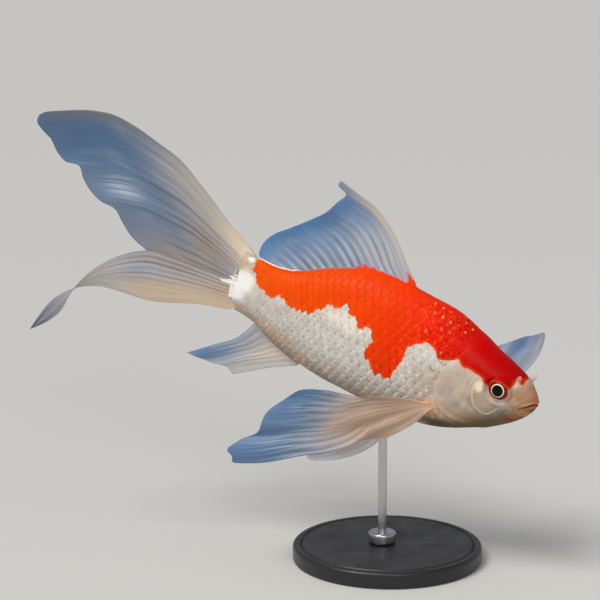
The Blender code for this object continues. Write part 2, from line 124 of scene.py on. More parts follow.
@dataclass(frozen=True)
class Smooth:
    """A smooth function through values at knots. The values may be numbers or points."""

    knots: Array
    values: Array
    slopes: Array

    @classmethod
    def through(cls, knots: Array, values: Array) -> "Smooth":
        """The function that passes through the values.

        Args:
            knots: Where the values lie, in rising order.
            values: One number or point for each knot.

        Returns:
            The smooth function.
        """
        knots = np.asarray(knots, float)
        values = np.asarray(values, float)
        return cls(knots, values, np.gradient(values, knots, axis=0))

    @classmethod
    def along(cls, points: tuple) -> "Smooth":
        """A curve through points, run from 0 to 1 by its length."""
        points = np.asarray(points, float)
        lengths = np.linalg.norm(np.diff(points, axis=0), axis=1)
        knots = np.concatenate([[0], np.cumsum(lengths)])
        return cls.through(knots / knots[-1], points)

    def __call__(self, where: Array) -> Array:
        """The values at the given places.

        Args:
            where: Any array of numbers.

        Returns:
            Its values, with a last axis of coordinates where the values are points.
        """
        where = np.asarray(where, float)
        i = np.clip(np.searchsorted(self.knots, where, "right") - 1, 0, len(self.knots) - 2)
        step = self.knots[i + 1] - self.knots[i]
        s = (where - self.knots[i]) / step
        if self.values.ndim > 1:
            step = step[..., None]
            s = s[..., None]
        start = self.values[i] * (1 + 2 * s) * (1 - s) ** 2 + self.slopes[i] * step * s * (1 - s) ** 2
        end = self.values[i + 1] * s * s * (3 - 2 * s) - self.slopes[i + 1] * step * s * s * (1 - s)
        return start + end


def nearest_on_line(points: Array, line: Array) -> tuple[Array, Array, Array]:
    """Finds each point's nearest place on a line of straight pieces.

    Args:
        points: Points, one a row.
        line: The line's corners, one a row.

    Returns:
        The distance, the share of the line's pieces passed, and the side in the side view, which is
        positive where the point lies to the left of the way the line runs with x right and z up.
    """
    start = line[:-1]
    step = np.diff(line, axis=0)
    found = []
    for some in np.array_split(points, max(1, len(points) // 20000)):
        offset = some[:, None] - start[None]
        share = np.clip((offset * step).sum(-1) / (step * step).sum(-1), 0, 1)
        gap = offset - share[..., None] * step
        square = (gap * gap).sum(-1)
        best = square.argmin(1)
        row = np.arange(len(some))
        away = offset[row, best]
        cross = step[best, 0] * away[:, -1] - step[best, -1] * away[:, 0]
        passed = (best + share[row, best]) / len(start)
        found.append((np.sqrt(square[row, best]), passed, np.sign(cross)))
    return tuple(np.concatenate(part) for part in zip(*found))


def inside_outline(points: Array, outline: Array) -> Array:
    """Says which points of the side view lie inside a closed outline.

    Args:
        points: (x, z) places, one a row.
        outline: The outline's corners, one a row.

    Returns:
        True for each point inside.
    """
    x, z = points.T
    inside = np.zeros(len(points), bool)
    for (x1, z1), (x2, z2) in zip(outline, np.roll(outline, -1, axis=0)):
        if z1 != z2:
            crossing = (x2 - x1) * (z - z1) / (z2 - z1) + x1
            inside ^= ((z1 > z) != (z2 > z)) & (x < crossing)
    return inside


# ---- the fish's form


@dataclass(frozen=True)
class Stance:
    """How the straight fish is bent, tipped and raised."""

    pitch_deg: float = 19.1
    height: float = 82
    side_bend: float = 0.00117

    def placed(self, points: Array) -> Array:
        """Straight millimetres turned into placed metres."""
        x, y, z = np.asarray(points, float).T
        cosine = math.cos(math.radians(self.pitch_deg))
        sine = math.sin(math.radians(self.pitch_deg))
        return MM * points_from(
            x * cosine + z * sine, y - self.side_bend * x * x, z * cosine - x * sine + self.height)

    def straightened(self, point: Vector) -> Array:
        """A placed point in metres turned back into straight millimetres."""
        x, y, z = np.array(point) / MM - (0, 0, self.height)
        cosine = math.cos(math.radians(self.pitch_deg))
        sine = math.sin(math.radians(self.pitch_deg))
        along = x * cosine - z * sine
        return np.array([along, y + self.side_bend * along * along, x * sine + z * cosine])


@dataclass(frozen=True)
class Profile:
    """A body size read along the body, which rises from the snout like a root."""

    table: tuple[Place, ...]

    def __call__(self, distance: Array) -> Array:
        """The size at each distance behind the snout."""
        distances, values = zip(*self.table)
        return Smooth.through(np.sqrt(distances), values)(np.sqrt(distance))


@dataclass(frozen=True)
class Body:
    """The body from snout to tail base, as sections measured backwards from the snout tip."""

    snout_x: float = 58.8
    length: float = 119.5
    rounding: float = 2.5
    taper_length: float = 7
    wedge_length: float = 13
    wedge_width: float = 0.34
    back: Profile = Profile((
        (0, 1.2), (1.5, 4.6), (6, 8.1), (12, 10.5), (20, 13), (29, 16.6), (38, 19.4), (48, 20.3),
        (62, 20.9), (70, 20.2), (80, 17.3), (88, 13.9), (95, 10.2), (101, 7.9), (107, 7.4), (113, 8.2),
        (118, 9.5),
    ))
    belly: Profile = Profile((
        (0, 0.8), (1.2, -3), (8, -10.2), (18, -16.8), (36, -23.9), (54, -25.3), (68, -24.9),
        (79, -24.2), (98, -19.4), (108, -15), (118, -13),
    ))
    half_width: Profile = Profile((
        (0, 0), (1.5, 3.1), (4, 4.9), (8, 6.7), (15, 8.9), (25, 11.2), (36, 12.6), (50, 13),
        (62, 12.2), (75, 10.2), (88, 7.6), (100, 5.4), (110, 3.9), (118, 2.8),
    ))
    widest: Profile = Profile((
        (0, 1), (8, 0), (15, -1), (30, -4), (50, -5), (75, -4.8), (95, -4.2), (118, -1.9),
    ))

    def last(self, stretch: float, distance: Array) -> Array:
        """How much of the body's last stretch of this length each distance has passed, from 0 to 1."""
        return np.clip((distance - self.length + stretch) / stretch, 0, 1)

    def section(self, distance: Array) -> tuple[Array, Array, Array, Array]:
        """The body's section at each distance behind the snout.

        Args:
            distance: Distances in millimetres.

        Returns:
            The widest height, the heights above and below it, and the half width.
        """
        distance = np.clip(distance, 0, self.length)
        within = np.minimum(distance, self.length - self.rounding / 2)
        closing = np.sqrt(1 - self.last(self.rounding, distance) ** 2)
        wedge = smoothstep(self.last(self.wedge_length, distance))
        taper = self.last(self.taper_length, distance)
        middle = self.widest(within)
        above = (self.back(within) - middle) * closing
        below = (middle - self.belly(within)) * closing
        tail_share = (1 - (1 - self.wedge_width) * wedge) * (1 - 0.98 * taper * taper)
        wide = self.half_width(within) * tail_share * (distance < self.length)
        return middle, above, below, wide

    def at(self, distance: Array, angle: Array) -> Array:
        """Points on the body.

        Args:
            distance: Distances behind the snout.
            angle: Angles round the section from the back, positive to the fish's left.

        Returns:
            The points, one a row.
        """
        middle, above, below, wide = self.section(distance)
        height = np.where(np.cos(angle) > 0, above, below)
        x = self.snout_x - distance + 0 * angle
        return points_from(x, wide * np.sin(angle), middle + height * np.cos(angle))

    def normal(self, distance: Array, angle: Array) -> Array:
        """The outward direction at each point of the body."""
        step = 0.01
        before = np.clip(distance - step, 0, self.length)
        behind = np.clip(distance + step, 0, self.length)
        along = self.at(behind, angle) - self.at(before, angle)
        around = self.at(distance, angle + step) - self.at(distance, angle - step)
        normal = np.cross(around, along)
        size = np.linalg.norm(normal, axis=-1, keepdims=True)
        ends = np.zeros_like(normal)
        ends[..., 0] = np.where(distance < self.length / 2, 1, -1)
        return np.where(size > 1e-9, normal / np.maximum(size, 1e-9), ends)

    def along(self, points: Array) -> Array:
        """How far towards the snout each point lies, from 0 at the tail base to 1."""
        return np.clip(1 - (self.snout_x - points[:, 0]) / self.length, 0, 1)

    def side_y(self, x: Array, z: Array) -> Array:
        """The half width of the body at places in the side view."""
        middle, above, below, wide = self.section(self.snout_x - x)
        height = np.maximum(np.where(z > middle, above, below), 1e-6)
        return wide * np.sqrt(np.clip(1 - ((z - middle) / height) ** 2, 0, 1))

    def clearance(self, points: Array) -> Array:
        """About how far each point stands outside the body, negative inside it."""
        x, y, z = points.T
        middle, above, below, wide = self.section(self.snout_x - x)
        height = np.maximum(np.where(z > middle, above, below), 0.3)
        reach = np.hypot(y, z - middle)
        share = np.hypot(y / np.maximum(wide, 0.3), (z - middle) / height)
        outside = reach - reach / np.maximum(share, 1e-6)
        return np.maximum(outside, self.snout_x - self.length - x)


# ---- relief of the head


@dataclass(frozen=True)
class Line:
    """A smooth line that lies on both sides of the body, through places in the side view (x, z)."""

    places: tuple[Place, ...]
    pieces: int = 48

    def measure(self, body: Body, points: Array, reach: float = 8) -> tuple[Array, Array]:
        """Measures points from the line.

        Args:
            body: The body that the line lies on.
            points: Points near the body, of either side.
            reach: How far from the line a point is worth measuring.

        Returns:
            The signed distance, positive where the line runs down and the point is ahead of it, and
            the share of the line passed. Points out of reach are FAR.
        """
        x, z = Smooth.along(self.places)(np.linspace(0, 1, self.pieces + 1)).T
        line = points_from(x, body.side_y(x, z), z)
        mirrored = points.copy()
        mirrored[:, 1] = np.abs(points[:, 1])
        near = ((mirrored > line.min(0) - reach) & (mirrored < line.max(0) + reach)).all(1)
        signed = np.full(len(points), FAR)
        passed = np.zeros(len(points))
        distance, share, side = nearest_on_line(mirrored[near], line)
        signed[near] = distance * np.where(side < 0, -1, 1)
        passed[near] = share
        return signed, passed


@dataclass(frozen=True)
class Crease:
    """A groove pressed into the skin along a line, or a ridge raised along it."""

    line: Line
    height: float
    width: float
    fades: Place = (0.15, 0.15)

    def relief(self, body: Body, points: Array) -> Array:
        """The height that the crease adds at each point."""
        signed, passed = self.line.measure(body, points, 4 * self.width + 1)
        return self.height * bump(signed / self.width) * fade_ends(passed, self.fades)


@dataclass(frozen=True)
class Flap:
    """An edge whose skin ahead stands over the skin behind it, with a shadowed furrow under it."""

    line: Line
    rise: float
    reach: float
    furrow: float
    fades: Place = (0.12, 0.12)

    def relief(self, body: Body, points: Array) -> Array:
        """The height that the flap adds at each point."""
        signed, passed = self.line.measure(body, points, self.reach * 2.5)
        cover = self.rise * smoothstep(signed, -0.12, 0.3) * bump(np.maximum(signed, 0) / self.reach)
        under = self.furrow * bump((signed + 0.45) / 0.42)
        return (cover - under) * fade_ends(passed, self.fades)


@dataclass(frozen=True)
class Dome:
    """A round rise or hollow on both sides, or on one."""

    centre: Spot
    radius: float
    height: float
    side: Side | None = None

    def relief(self, body: Body, points: Array) -> Array:
        """The height that the dome adds at each point."""
        x, y, z = points.T
        across = np.abs(y) if self.side is None else y * self.side.value
        away = points_from(x, across, z) - self.centre
        return self.height * bump(np.linalg.norm(away, axis=1) / self.radius)


@dataclass(frozen=True)
class Orbit:
    """The ring of skin that closes over the edge of each eyeball, lower over its top than at its sides."""

    centre: Place = (45.45, 2.1)
    half_width: float = 3.85
    half_height: float = 3
    cover: float = 0.2
    lip: float = 0.1
    lip_at: float = 1.08  # where the lip lies, as a share of the opening's radius
    fold: float = 0.12
    fold_at: float = 1.34
    reach: float = 4.6  # where the ring starts to melt into the head
    melt: float = 2.2

    def opening(self, points: Array) -> Array:
        """How far from the opening's middle each point lies, as a share of the opening's radius."""
        x, _, z = points.T
        return np.hypot((x - self.centre[0]) / self.half_width, (z - self.centre[1]) / self.half_height)

    def push(self, points: Array) -> Array:
        """How far each point moves sideways, out over the eyeball or in behind it."""
        x, y, z = points.T
        radius = np.hypot(x - EYE_CENTRE[0], z - EYE_CENTRE[2])
        ball = np.sqrt(np.clip(1 - (radius / EYE_RADII[0]) ** 2, 0, 1))
        ball = EYE_CENTRE[1] + EYE_RADII[1] * ball - 1.6 * np.clip(radius - EYE_RADII[0], 0, 3)
        gap = ball + self.cover - np.abs(y)
        share = self.opening(points)
        near = 1 - smoothstep(share, 1, 0.5)
        over = near * gap + (1 - near) * 0.5 * (gap + np.hypot(gap, 0.4))
        over = over * (1 - smoothstep(radius, self.reach, self.melt))
        over = over + self.lip * bump((share - self.lip_at) / 0.06)
        over = over - self.fold * bump((share - self.fold_at) / 0.07)
        inside = smoothstep((1 - share) / 0.1)
        beside = smoothstep(np.abs(y), 3, 1.5)
        return np.sign(y) * beside * (over * (1 - inside) + (gap - self.cover - 1) * inside)


@dataclass(frozen=True)
class Mouth:
    """The mouth slit with its two lips, and the crease that runs back from its corner."""

    line: Line = Line(((58.9, 1.15), (58.2, 1.15), (57, 0.5), (55.9, -0.35), (54.6, -1.3), (53.8, -3.2)))
    depth: float = 0.75
    lip: float = 0.34
    lip_gap: float = 0.62
    slit_share: float = 0.62

    def relief(self, body: Body, points: Array) -> Array:
        """The slit, lips and corner crease at each point."""
        signed, passed = self.line.measure(body, points, 3)
        slit = 1 - smoothstep(passed, self.slit_share, 0.15)
        lips = self.lip * bump((np.abs(signed) - self.lip_gap) / 0.36) * (0.35 + 0.65 * slit)
        crease = 0.3 * (1 - slit) * smoothstep((1 - passed) / 0.3)
        return lips - (self.depth * slit + crease) * bump(signed / 0.2)


@dataclass(frozen=True)
class FinFoot:
    """The low fleshy ridge that a middle fin stands on."""

    front_x: float
    rear_x: float
    above: bool
    height: float = 0.55
    width: float = 1.5

    def relief(self, body: Body, points: Array) -> Array:
        """The height that the ridge adds at each point."""
        x, y, z = points.T
        own_half = (z > 0) if self.above else (z < -5)
        ends = smoothstep((self.front_x + 0.8 - x) / 2) * smoothstep(x, self.rear_x, 3)
        return self.height * bump(y / self.width) * ends * own_half


GILL_EDGE = Line((
    (35.6, 17.5), (33, 14.2), (30, 10.2), (27.5, 6.5), (24.6, 0.5), (24.2, -5), (26, -10),
    (30.5, -13.4), (36, -14.6), (41, -15), (45, -14.2), (47.6, -12.6),
))
EYE_CENTRE = (45.5, 6.2, 2.4)
EYE_RADII = (4.4, 3.6, 4.4)
NOSTRILS = {Side.RIGHT: (50.3, 4.3, 7.6), Side.LEFT: (53, 4.2, 7.4)}
# Each nostril's two hollows and its rise: the middle from the nostril's own, the radius and the height.
NOSTRIL_DOMES = (
    (1.05, -0.2, -0.6, 0.55, -0.7), (-1.1, 0.2, 0.3, 0.6, -0.55), (0, 0, -0.4, 1.9, 0.2),
)
MOUTH = Mouth()
ORBIT = Orbit()
# What stands proud of the plain body or is pressed into it, head first and the nostrils last.
FEATURES = (
    Flap(GILL_EDGE, rise=0.62, reach=4.5, furrow=0.5, fades=(0.42, 0.28)),
    Crease(Line(((37.4, 5), (36.3, 1.4), (37, -2.6), (39.3, -5.9), (43, -7.7), (46.2, -6.8))), 0.26, 0.34),
    Crease(Line(((36.6, 4.6), (35.4, 1.2), (36, -3.2), (38.4, -7), (42.6, -9), (46.4, -8.2))), -0.16, 0.4),
    Crease(Line(((40.6, -1.4), (43.4, -3.9), (47, -3.8), (50.4, -1.6))), -0.16, 0.35),
    Crease(Line(((50.8, -2.8), (49.2, -6.2), (46.4, -9.6), (42, -12.2))), -0.18, 0.4),
    Crease(Line(((28.4, -11.4), (33.5, -12), (39, -12.6), (44, -12.4))), -0.14, 0.4),
    Crease(Line(((54.6, 2.2), (52.8, 1), (51.8, -1.2))), -0.12, 0.35),
    Crease(Line(((31.5, 5.2), (34.5, 5.9), (37.8, 5.6))), -0.12, 0.35),
    Dome((31, 10.4, -1.5), 4.5, 0.22),
    Dome((38.6, 9.6, -1.2), 2.6, 0.2),
    Dome((26.5, 11, -12.6), 2.4, 0.55),
    Dome((5.4, 3.6, -22.5), 2.6, 0.5),
    Dome((56.2, 0, 5.2), 2.6, -0.42),
    MOUTH,
    FinFoot(4, -38, above=True),
    FinFoot(-27.5, -47, above=False),
    *(Dome((x + dx, y + dy, z + dz), radius, height, side)
      for side, (x, y, z) in NOSTRILS.items()
      for dx, dy, dz, radius, height in NOSTRIL_DOMES),
)


@dataclass(frozen=True)
class Relief:
    """The skin's and the scales' height over the plain body."""

    body: Body
    coat_depth: float = 0.3

    def coat_share(self, points: Array) -> Array:
        """One where the body wears scales, nought on the head, with a short blend between."""
        x, _, z = points.T
        line = Smooth.along(GILL_EDGE.places)(np.linspace(0, 1, 60))
        distance, _, side = nearest_on_line(points_from(x, z), line)
        behind = np.where(side < 0, distance, -distance)
        behind = np.where(x > 45, -FAR, np.where(x < 20, FAR, behind))
        return smoothstep((behind + 0.2) / (0.8 + 4.4 * smoothstep(z, 5, 6)))

    def raised(self, points: Array, normals: Array, extra: Array | float = 0) -> Array:
        """Lifts points of the plain body to the skin.

        Args:
            points: Points of the plain body.
            normals: The body's outward directions there.
            extra: How much further out than the skin they go.

        Returns:
            The lifted points.
        """
        total = extra - self.coat_depth * self.coat_share(points)
        total = sum((feature.relief(self.body, points) for feature in FEATURES), total)
        lifted = points + normals * total[:, None]
        lifted[:, 1] += ORBIT.push(points)
        return lifted


# ---- colours and markings


def paint(shade: Shade) -> Colour:
    """A shade as a shader's colour."""
    return tuple(
        value / 12.92 if value <= 0.04045 else ((value + 0.055) / 1.055) ** 2.4
        for value in (level / 255 for level in shade)
    )


@dataclass(frozen=True)
class Tint:
    """A soft patch of colour on the pale skin, of both sides or one."""

    centre: Place
    radii: Place
    shade: Shade
    strength: float = 1
    side: Side | None = None

    def weight(self, points: Array) -> Array:
        """How strongly the patch shows at each point."""
        x, y, z = points.T
        away = np.hypot((x - self.centre[0]) / self.radii[0], (z - self.centre[1]) / self.radii[1])
        away = away + 0.14 * np.sin(1.1 * x + 0.5 * z) * np.sin(0.9 * z - 0.6 * x + 1)
        shown = 1 if self.side is None else smoothstep(y * self.side.value, 0.8, 2.4)
        return self.strength * smoothstep(1.6 - away) * shown


@dataclass(frozen=True)
class Stroke:
    """A fine line of colour on the pale skin of both sides."""

    line: Line
    width: float
    shade: Shade
    strength: float

    def weight(self, body: Body, points: Array) -> Array:
        """How strongly the line shows at each point."""
        signed, passed = self.line.measure(body, points, 3)
        return self.strength * bump(signed / self.width) * fade_ends(passed, (0.15, 0.15))


BLOTCH = (150, 150, 150)
CHALK = (255, 254, 248)
EDGE_LIGHT = (240, 234, 214)
JAW = (88, 66, 32)
LIP_BROWN = (112, 76, 54)
# The patches of colour on the pale skin, laid one over the other; a few are painted sheen and highlight.
TINTS = (
    Tint((21, -5), (6, 6), (192, 170, 152), 0.65),  # shoulder
    Tint((33, -1), (7.5, 7.5), (197, 176, 152), 0.8),  # gill cover
    Tint((34.5, -11), (9, 2.8), (176, 152, 122), 0.7),  # lower gill
    Tint((29.2, -4.2), (1.5, 3), BLOTCH, 0.36),  # blotch behind
    Tint((33.2, -7.6), (1.8, 1.6), BLOTCH, 0.36),  # blotch below
    Tint((32.4, 1.6), (2.2, 1.2), BLOTCH, 0.25),  # blotch above
    Tint((41.5, -4.6), (5.6, 4.2), (180, 158, 134), 0.85),  # cheek
    Tint((55.6, 1.5), (6, 6.5), (174, 131, 97), 0.95),  # snout
    Tint((51.2, 0.3), (2, 1.2), (208, 170, 136), 0.5),  # painted highlight on the snout
    Tint((48.4, -4.6), (3.2, 1.9), (146, 134, 130), 0.6),  # under the eye
    Tint((28, -19.4), (5, 2.6), (108, 86, 48), 0.85),  # breast
    Tint((25.6, -13.4), (4.6, 3.6), (226, 182, 150), 0.9),  # pectoral base
    Tint((31, -13.6), (5.5, 1), (226, 200, 168), 0.5),  # gill margin
    Tint((38.9, 1.1), (1.7, 1.5), (250, 232, 200), 0.8),  # pale cheek
    Tint((50.8, 8.6), (1.5, 2.2), (208, 150, 130), 1, Side.RIGHT),  # right nostril
    Tint((53.6, 9), (1.8, 2.2), (206, 200, 192), 1, Side.LEFT),  # left nostril
    Tint((57.6, 2.6), (1, 2), (190, 96, 74), 0.6),  # upper lip
    Tint((-27, -21), (3, 3), (214, 164, 136), 0.4),  # vent
    Tint((-40.5, -14.5), (9, 2.2), (206, 174, 146), 0.6),  # stalk underside
    Tint((-56.8, -1.4), (4.4, 3.8), CHALK, 1),  # tail base
    Tint((-58.4, -6.4), (3.2, 3), CHALK, 0.9),  # tail base below
    Tint((-60, 5), (4.2, 3.2), (222, 190, 160), 0.9),  # tail base top
    Tint((-56.4, 7.4), (1.3, 1.3), CHALK, 1),  # tail base spot
    Tint((-13.5, 2.2), (8.5, 3), (250, 240, 224), 0.7),  # painted sheen on the flank
    Tint((16, 4), (4, 3.4), (232, 228, 220), 0.45),  # painted sheen on the shoulder
)
# The patches of colour that lie over the shadow under the jaw.
LATE_TINTS = (
    Tint((52.6, -7), (2.2, 1.3), (142, 66, 14), 0.7),  # chin front
    Tint((55.6, -3), (2.4, 1.4), (188, 138, 94), 0.8),  # lower lip
    Tint((52.8, -4.6), (2.4, 1.4), (168, 128, 92), 0.5),  # behind the lip
)
# The fine lines of colour on the pale skin.
STROKES = (
    Stroke(Line(((36.9, 2.4), (36.9, 0.6), (37.8, -2.9), (39.3, -5.9), (41.1, -7.2), (43.5, -7.9),
                 (45.9, -6), (47.9, -3.1))), 0.3, EDGE_LIGHT, 0.6),
    Stroke(Line(((24.9, -8), (26.4, -10.6), (30.5, -13.2), (36, -14.4))), 0.5, EDGE_LIGHT, 0.5),
    Stroke(Line(((27, 5.6), (28.6, 7.6), (30.2, 9.9))), 0.35, EDGE_LIGHT, 0.5),
    Stroke(Line(((57.4, 0.6), (55.9, -0.4), (54.4, -1), (53.9, -3))), 0.24, LIP_BROWN, 0.85),
)


@dataclass(frozen=True)
class Markings:
    """Where the red lies over the white, and how the pale skin is tinted."""

    body: Body
    pearl: Shade = (216, 209, 200)
    # belly is a painted shade: the pale skin's colour at the belly, darker as if lit from above
    belly: Shade = (170, 151, 131)
    top: tuple[Place, ...] = ((53.2, 40), (-55, 40))
    right_edge: tuple[Place, ...] = (
        (-54.4, 8.6), (-54.4, 4.5), (-52, 2.5), (-50, -0.9), (-46.1, -1.9), (-42.7, -2.2),
        (-41.6, 0.1), (-39.3, -0.7), (-36.7, -2), (-30.8, -1.8), (-26.4, -0.7), (-25.4, 1.9),
        (-22.9, 3.9), (-18.1, 5.2), (-15.4, 8.2), (-13.6, 5.5), (-11.1, 5.4), (-8.8, 2.3), (-5.4, 3.8),
        (-2.9, 2.6), (-0.2, 0.8), (-2.8, -1), (-2.9, -4.8), (-0.2, -7.9), (1.6, -11.6), (4.1, -9),
        (8.8, -10), (8.8, -6.5), (10.6, -1.5), (10.5, 3.1), (12.9, 5.8), (16.7, 7.9), (20.2, 6.7),
        (21.9, 4), (25.2, 4.8), (28.8, 6.8), (30.8, 4.9), (33, 5.2), (38.6, 4.1), (41.4, 1.6),
        (45, 0.6), (48.4, 2.2), (49.1, 4.5), (49.5, 5.6), (49.7, 7), (51.2, 7.2), (51.6, 6.4), (52.2, 6.6),
        (52.4, 7.6), (53, 9),
    )
    left_edge: tuple[Place, ...] = (
        (-54.4, 8.6), (-53.6, 3), (-50, 0.4), (-46, 1.6), (-42, -1.6), (-37, -4.2),
        (-33.2, -3), (-30.4, 1.2), (-26, 4.2), (-21, 3), (-17, -1.2), (-13, -5.2),
        (-8, -7.2), (-3, -5.4), (0, -1), (4, 3.6), (9, 5.2), (13, 2.4), (17, -2.2),
        (21, -3.6), (24, 0.2), (27, 4.6), (31, 6.6), (35, 3), (39, 2.4), (41.4, 1),
        (45, 1), (49, 3.2), (51, 5.6), (51.6, 8.2), (53, 9),
    )

    def red(self, points: Array) -> Array:
        """How far inside the red each point lies, negative on the white, in millimetres."""
        side_view = points[:, [0, 2]]
        measured = np.zeros(len(points))
        for side, edge in ((Side.RIGHT, self.right_edge), (Side.LEFT, self.left_edge)):
            mine = (points[:, 1] >= 0) == (side is Side.LEFT)
            outline = np.array(edge + self.top)
            distance, _, _ = nearest_on_line(side_view[mine], np.vstack([outline, outline[:1]]))
            inside = inside_outline(side_view[mine], outline)
            measured[mine] = np.where(inside, distance, -distance)
        return measured

    def pale(self, points: Array) -> Array:
        """The colour of the pale skin at each point, with painted shade towards the belly and under the
        jaw.
        """
        x, _, z = points.T
        middle, _, below, _ = self.body.section(self.body.snout_x - x)
        share = (middle - z) / np.maximum(below, 1)
        # The pale skin darkens from pearl to belly towards the underside: painted shade.
        low = smoothstep(share, 0.25, 0.8)[:, None]
        colour = (1 - low) * paint(self.pearl) + low * paint(self.belly)
        start = np.interp(x, (28, 38, 48, 54), (0.5, 0.26, 0.06, 0))
        shadow = 0.84 * smoothstep((share - start) / 0.62) * smoothstep(x, 22, 6)
        layers = [
            *((tint.weight(points), tint.shade) for tint in TINTS),
            (shadow, JAW),
            *((tint.weight(points), tint.shade) for tint in LATE_TINTS),
            *((stroke.weight(self.body, points), stroke.shade) for stroke in STROKES),
        ]
        for weight, shade in layers:
            weight = weight[:, None]
            colour = colour * (1 - weight) + weight * np.array(paint(shade))
        return colour

    def lips(self, points: Array) -> Array:
        """How strongly the red of the mouth slit shows."""
        signed, passed = MOUTH.line.measure(self.body, points, 3)
        return bump(signed / 0.4) * (1 - smoothstep(passed, 0.28, 0.2))

    def orbit(self, points: Array) -> Array:
        """How strongly the flushed ring round the eyes shows; it is laid on more strongly over the top,
        where it is a painted highlight on the rim.
        """
        above = 0.4 + 0.6 * smoothstep(points[:, 2], 2.4, 3)
        beside = smoothstep(np.abs(points[:, 1]), 3, 2)
        return above * beside * bump((ORBIT.opening(points) - 1.05) / 0.11)


# ---- shader building


class Tree:
    """Adds nodes to a shader tree and links them."""

    def __init__(self, nodes: bpy.types.NodeTree) -> None:
        """Works on the given tree."""
        self.tree = nodes

    def give(self, wanted: Socket, value: object) -> None:
        """Links a socket to an input, or sets the input's own value, which for a colour is a shade."""
        if isinstance(value, Socket):
            self.tree.links.new(value, wanted)
        else:
            wanted.default_value = (*paint(value), 1) if wanted.type == "RGBA" else value

    def add(self, kind: str, inputs: dict | None = None, **settings: object) -> Node:
        """Adds one node.

        Args:
            kind: The node's type, without its ShaderNode prefix.
            inputs: A value or a socket for each input, by name or number.
            settings: The node's own settings.

        Returns:
            The node.
        """
        node = self.tree.nodes.new(f"ShaderNode{kind}")
        for name, value in settings.items():
            setattr(node, name, value)
        for name, value in (inputs or {}).items():
            self.give(node.inputs[name], value)
        return node

    def feed(self, **inputs: object) -> None:
        """Gives the Principled shader values or sockets, its inputs' words joined by underscores."""
        for wanted in self.tree.nodes["Principled BSDF"].inputs:
            label = wanted.name.replace(" ", "_").lower()
            if label in inputs:
                self.give(wanted, inputs[label])

    def place(self) -> Socket:
        """Object coordinates, which are the frame's metres."""
        return self.add("TexCoord").outputs["Object"]

    def surface(self, uv_map: str) -> Socket:
        """A place on the piece's own UV map."""
        return self.add("UVMap", uv_map=uv_map).outputs["UV"]

    def value(self, attribute: str) -> Socket:
        """A number stored on the mesh."""
        return self.add("Attribute", attribute_name=attribute).outputs["Fac"]

    def colour(self, attribute: str) -> Socket:
        """A colour stored on the mesh."""
        return self.add("Attribute", attribute_name=attribute).outputs["Color"]

    def noise(self, where: Socket, scale: float, detail: float = 2) -> Socket:
        """Soft noise, with about scale lumps to each unit of where."""
        return self.add("TexNoise", {"Vector": where, "Scale": scale, "Detail": detail}).outputs["Fac"]

    def stretched(self, where: Socket, scale: Spot) -> Socket:
        """Coordinates scaled by their own amount each way."""
        return self.add("Mapping", {"Vector": where, "Scale": scale}).outputs["Vector"]

    def math(self, operation: str, *values: object) -> Socket:
        """The outcome of a sum on numbers or sockets."""
        return self.add("Math", dict(enumerate(values)), operation=operation).outputs[0]

    def times(self, first: object, second: object) -> Socket:
        """The product of two numbers or sockets."""
        return self.math("MULTIPLY", first, second)

    def ramp(self, value: Socket, low: float, high: float,
             to_low: float = 0.0, to_high: float = 1.0) -> Socket:
        """A value eased from one range to another.

        Args:
            value: What is read.
            low: Where the change starts.
            high: Where it ends.
            to_low: The outcome at low.
            to_high: The outcome at high.

        Returns:
            The eased value.
        """
        inputs = {"Value": value, "From Min": low, "From Max": high, "To Min": to_low, "To Max": to_high}
        return self.add("MapRange", inputs, interpolation_type="SMOOTHSTEP").outputs["Result"]

    def mix(self, share: object, first: object, second: object, mode: str = "MIX") -> Socket:
        """Two colours mixed.

        Args:
            share: How much of the second colour shows.
            first: A shade or a socket.
            second: A shade or a socket.
            mode: How the second goes over the first.

        Returns:
            The mixed colour.
        """
        return self.add("Mix", {0: share, 6: first, 7: second}, data_type="RGBA",
                        blend_type=mode).outputs[2]

    def gradient(self, value: Socket, stops: tuple) -> Socket:
        """A colour read from a row of (place, shade) stops."""
        node = self.add("ValToRGB", {"Fac": value})
        elements = node.color_ramp.elements
        while len(elements) < len(stops):
            elements.new(0.5)
        for element, (where, shade) in zip(elements, stops):
            element.position = where
            element.color = (*paint(shade), 1)
        return node.outputs["Color"]

    def bump(self, height: Socket, distance: float, strength: float) -> Socket:
        """A normal from a height."""
        inputs = {"Height": height, "Distance": distance, "Strength": strength}
        return self.add("Bump", inputs).outputs["Normal"]


class Group(Tree):
    """A shader effect with named inputs and outputs, built once and used by several materials."""

    def __init__(self, name: str, inputs: dict[str, float], outputs: dict[str, str]) -> None:
        """Makes the empty group.

        Args:
            name: The group's name.
            inputs: Each input number's name and usual value.
            outputs: Each output's name and socket kind.
        """
        super().__init__(bpy.data.node_groups.new(name, "ShaderNodeTree"))
        for label, usual in inputs.items():
            socket = self.tree.interface.new_socket(label, in_out="INPUT", socket_type="NodeSocketFloat")
            socket.default_value = usual
        for label, kind in outputs.items():
            self.tree.interface.new_socket(label, in_out="OUTPUT", socket_type=f"NodeSocket{kind}")
        self.given = self.tree.nodes.new("NodeGroupInput").outputs
        self.wanted = self.tree.nodes.new("NodeGroupOutput").inputs

    def put_out(self, **outputs: Socket) -> None:
        """Links what each output gives."""
        for label, socket in outputs.items():
            self.give(self.wanted[label.capitalize()], socket)

    def use_in(self, tree: Tree, **values: object) -> bpy.types.bpy_prop_collection:
        """Places the group in a material, and gives its outputs."""
        inputs = {label.replace("_", " ").capitalize(): value for label, value in values.items()}
        return tree.add("Group", inputs, node_tree=self.tree).outputs


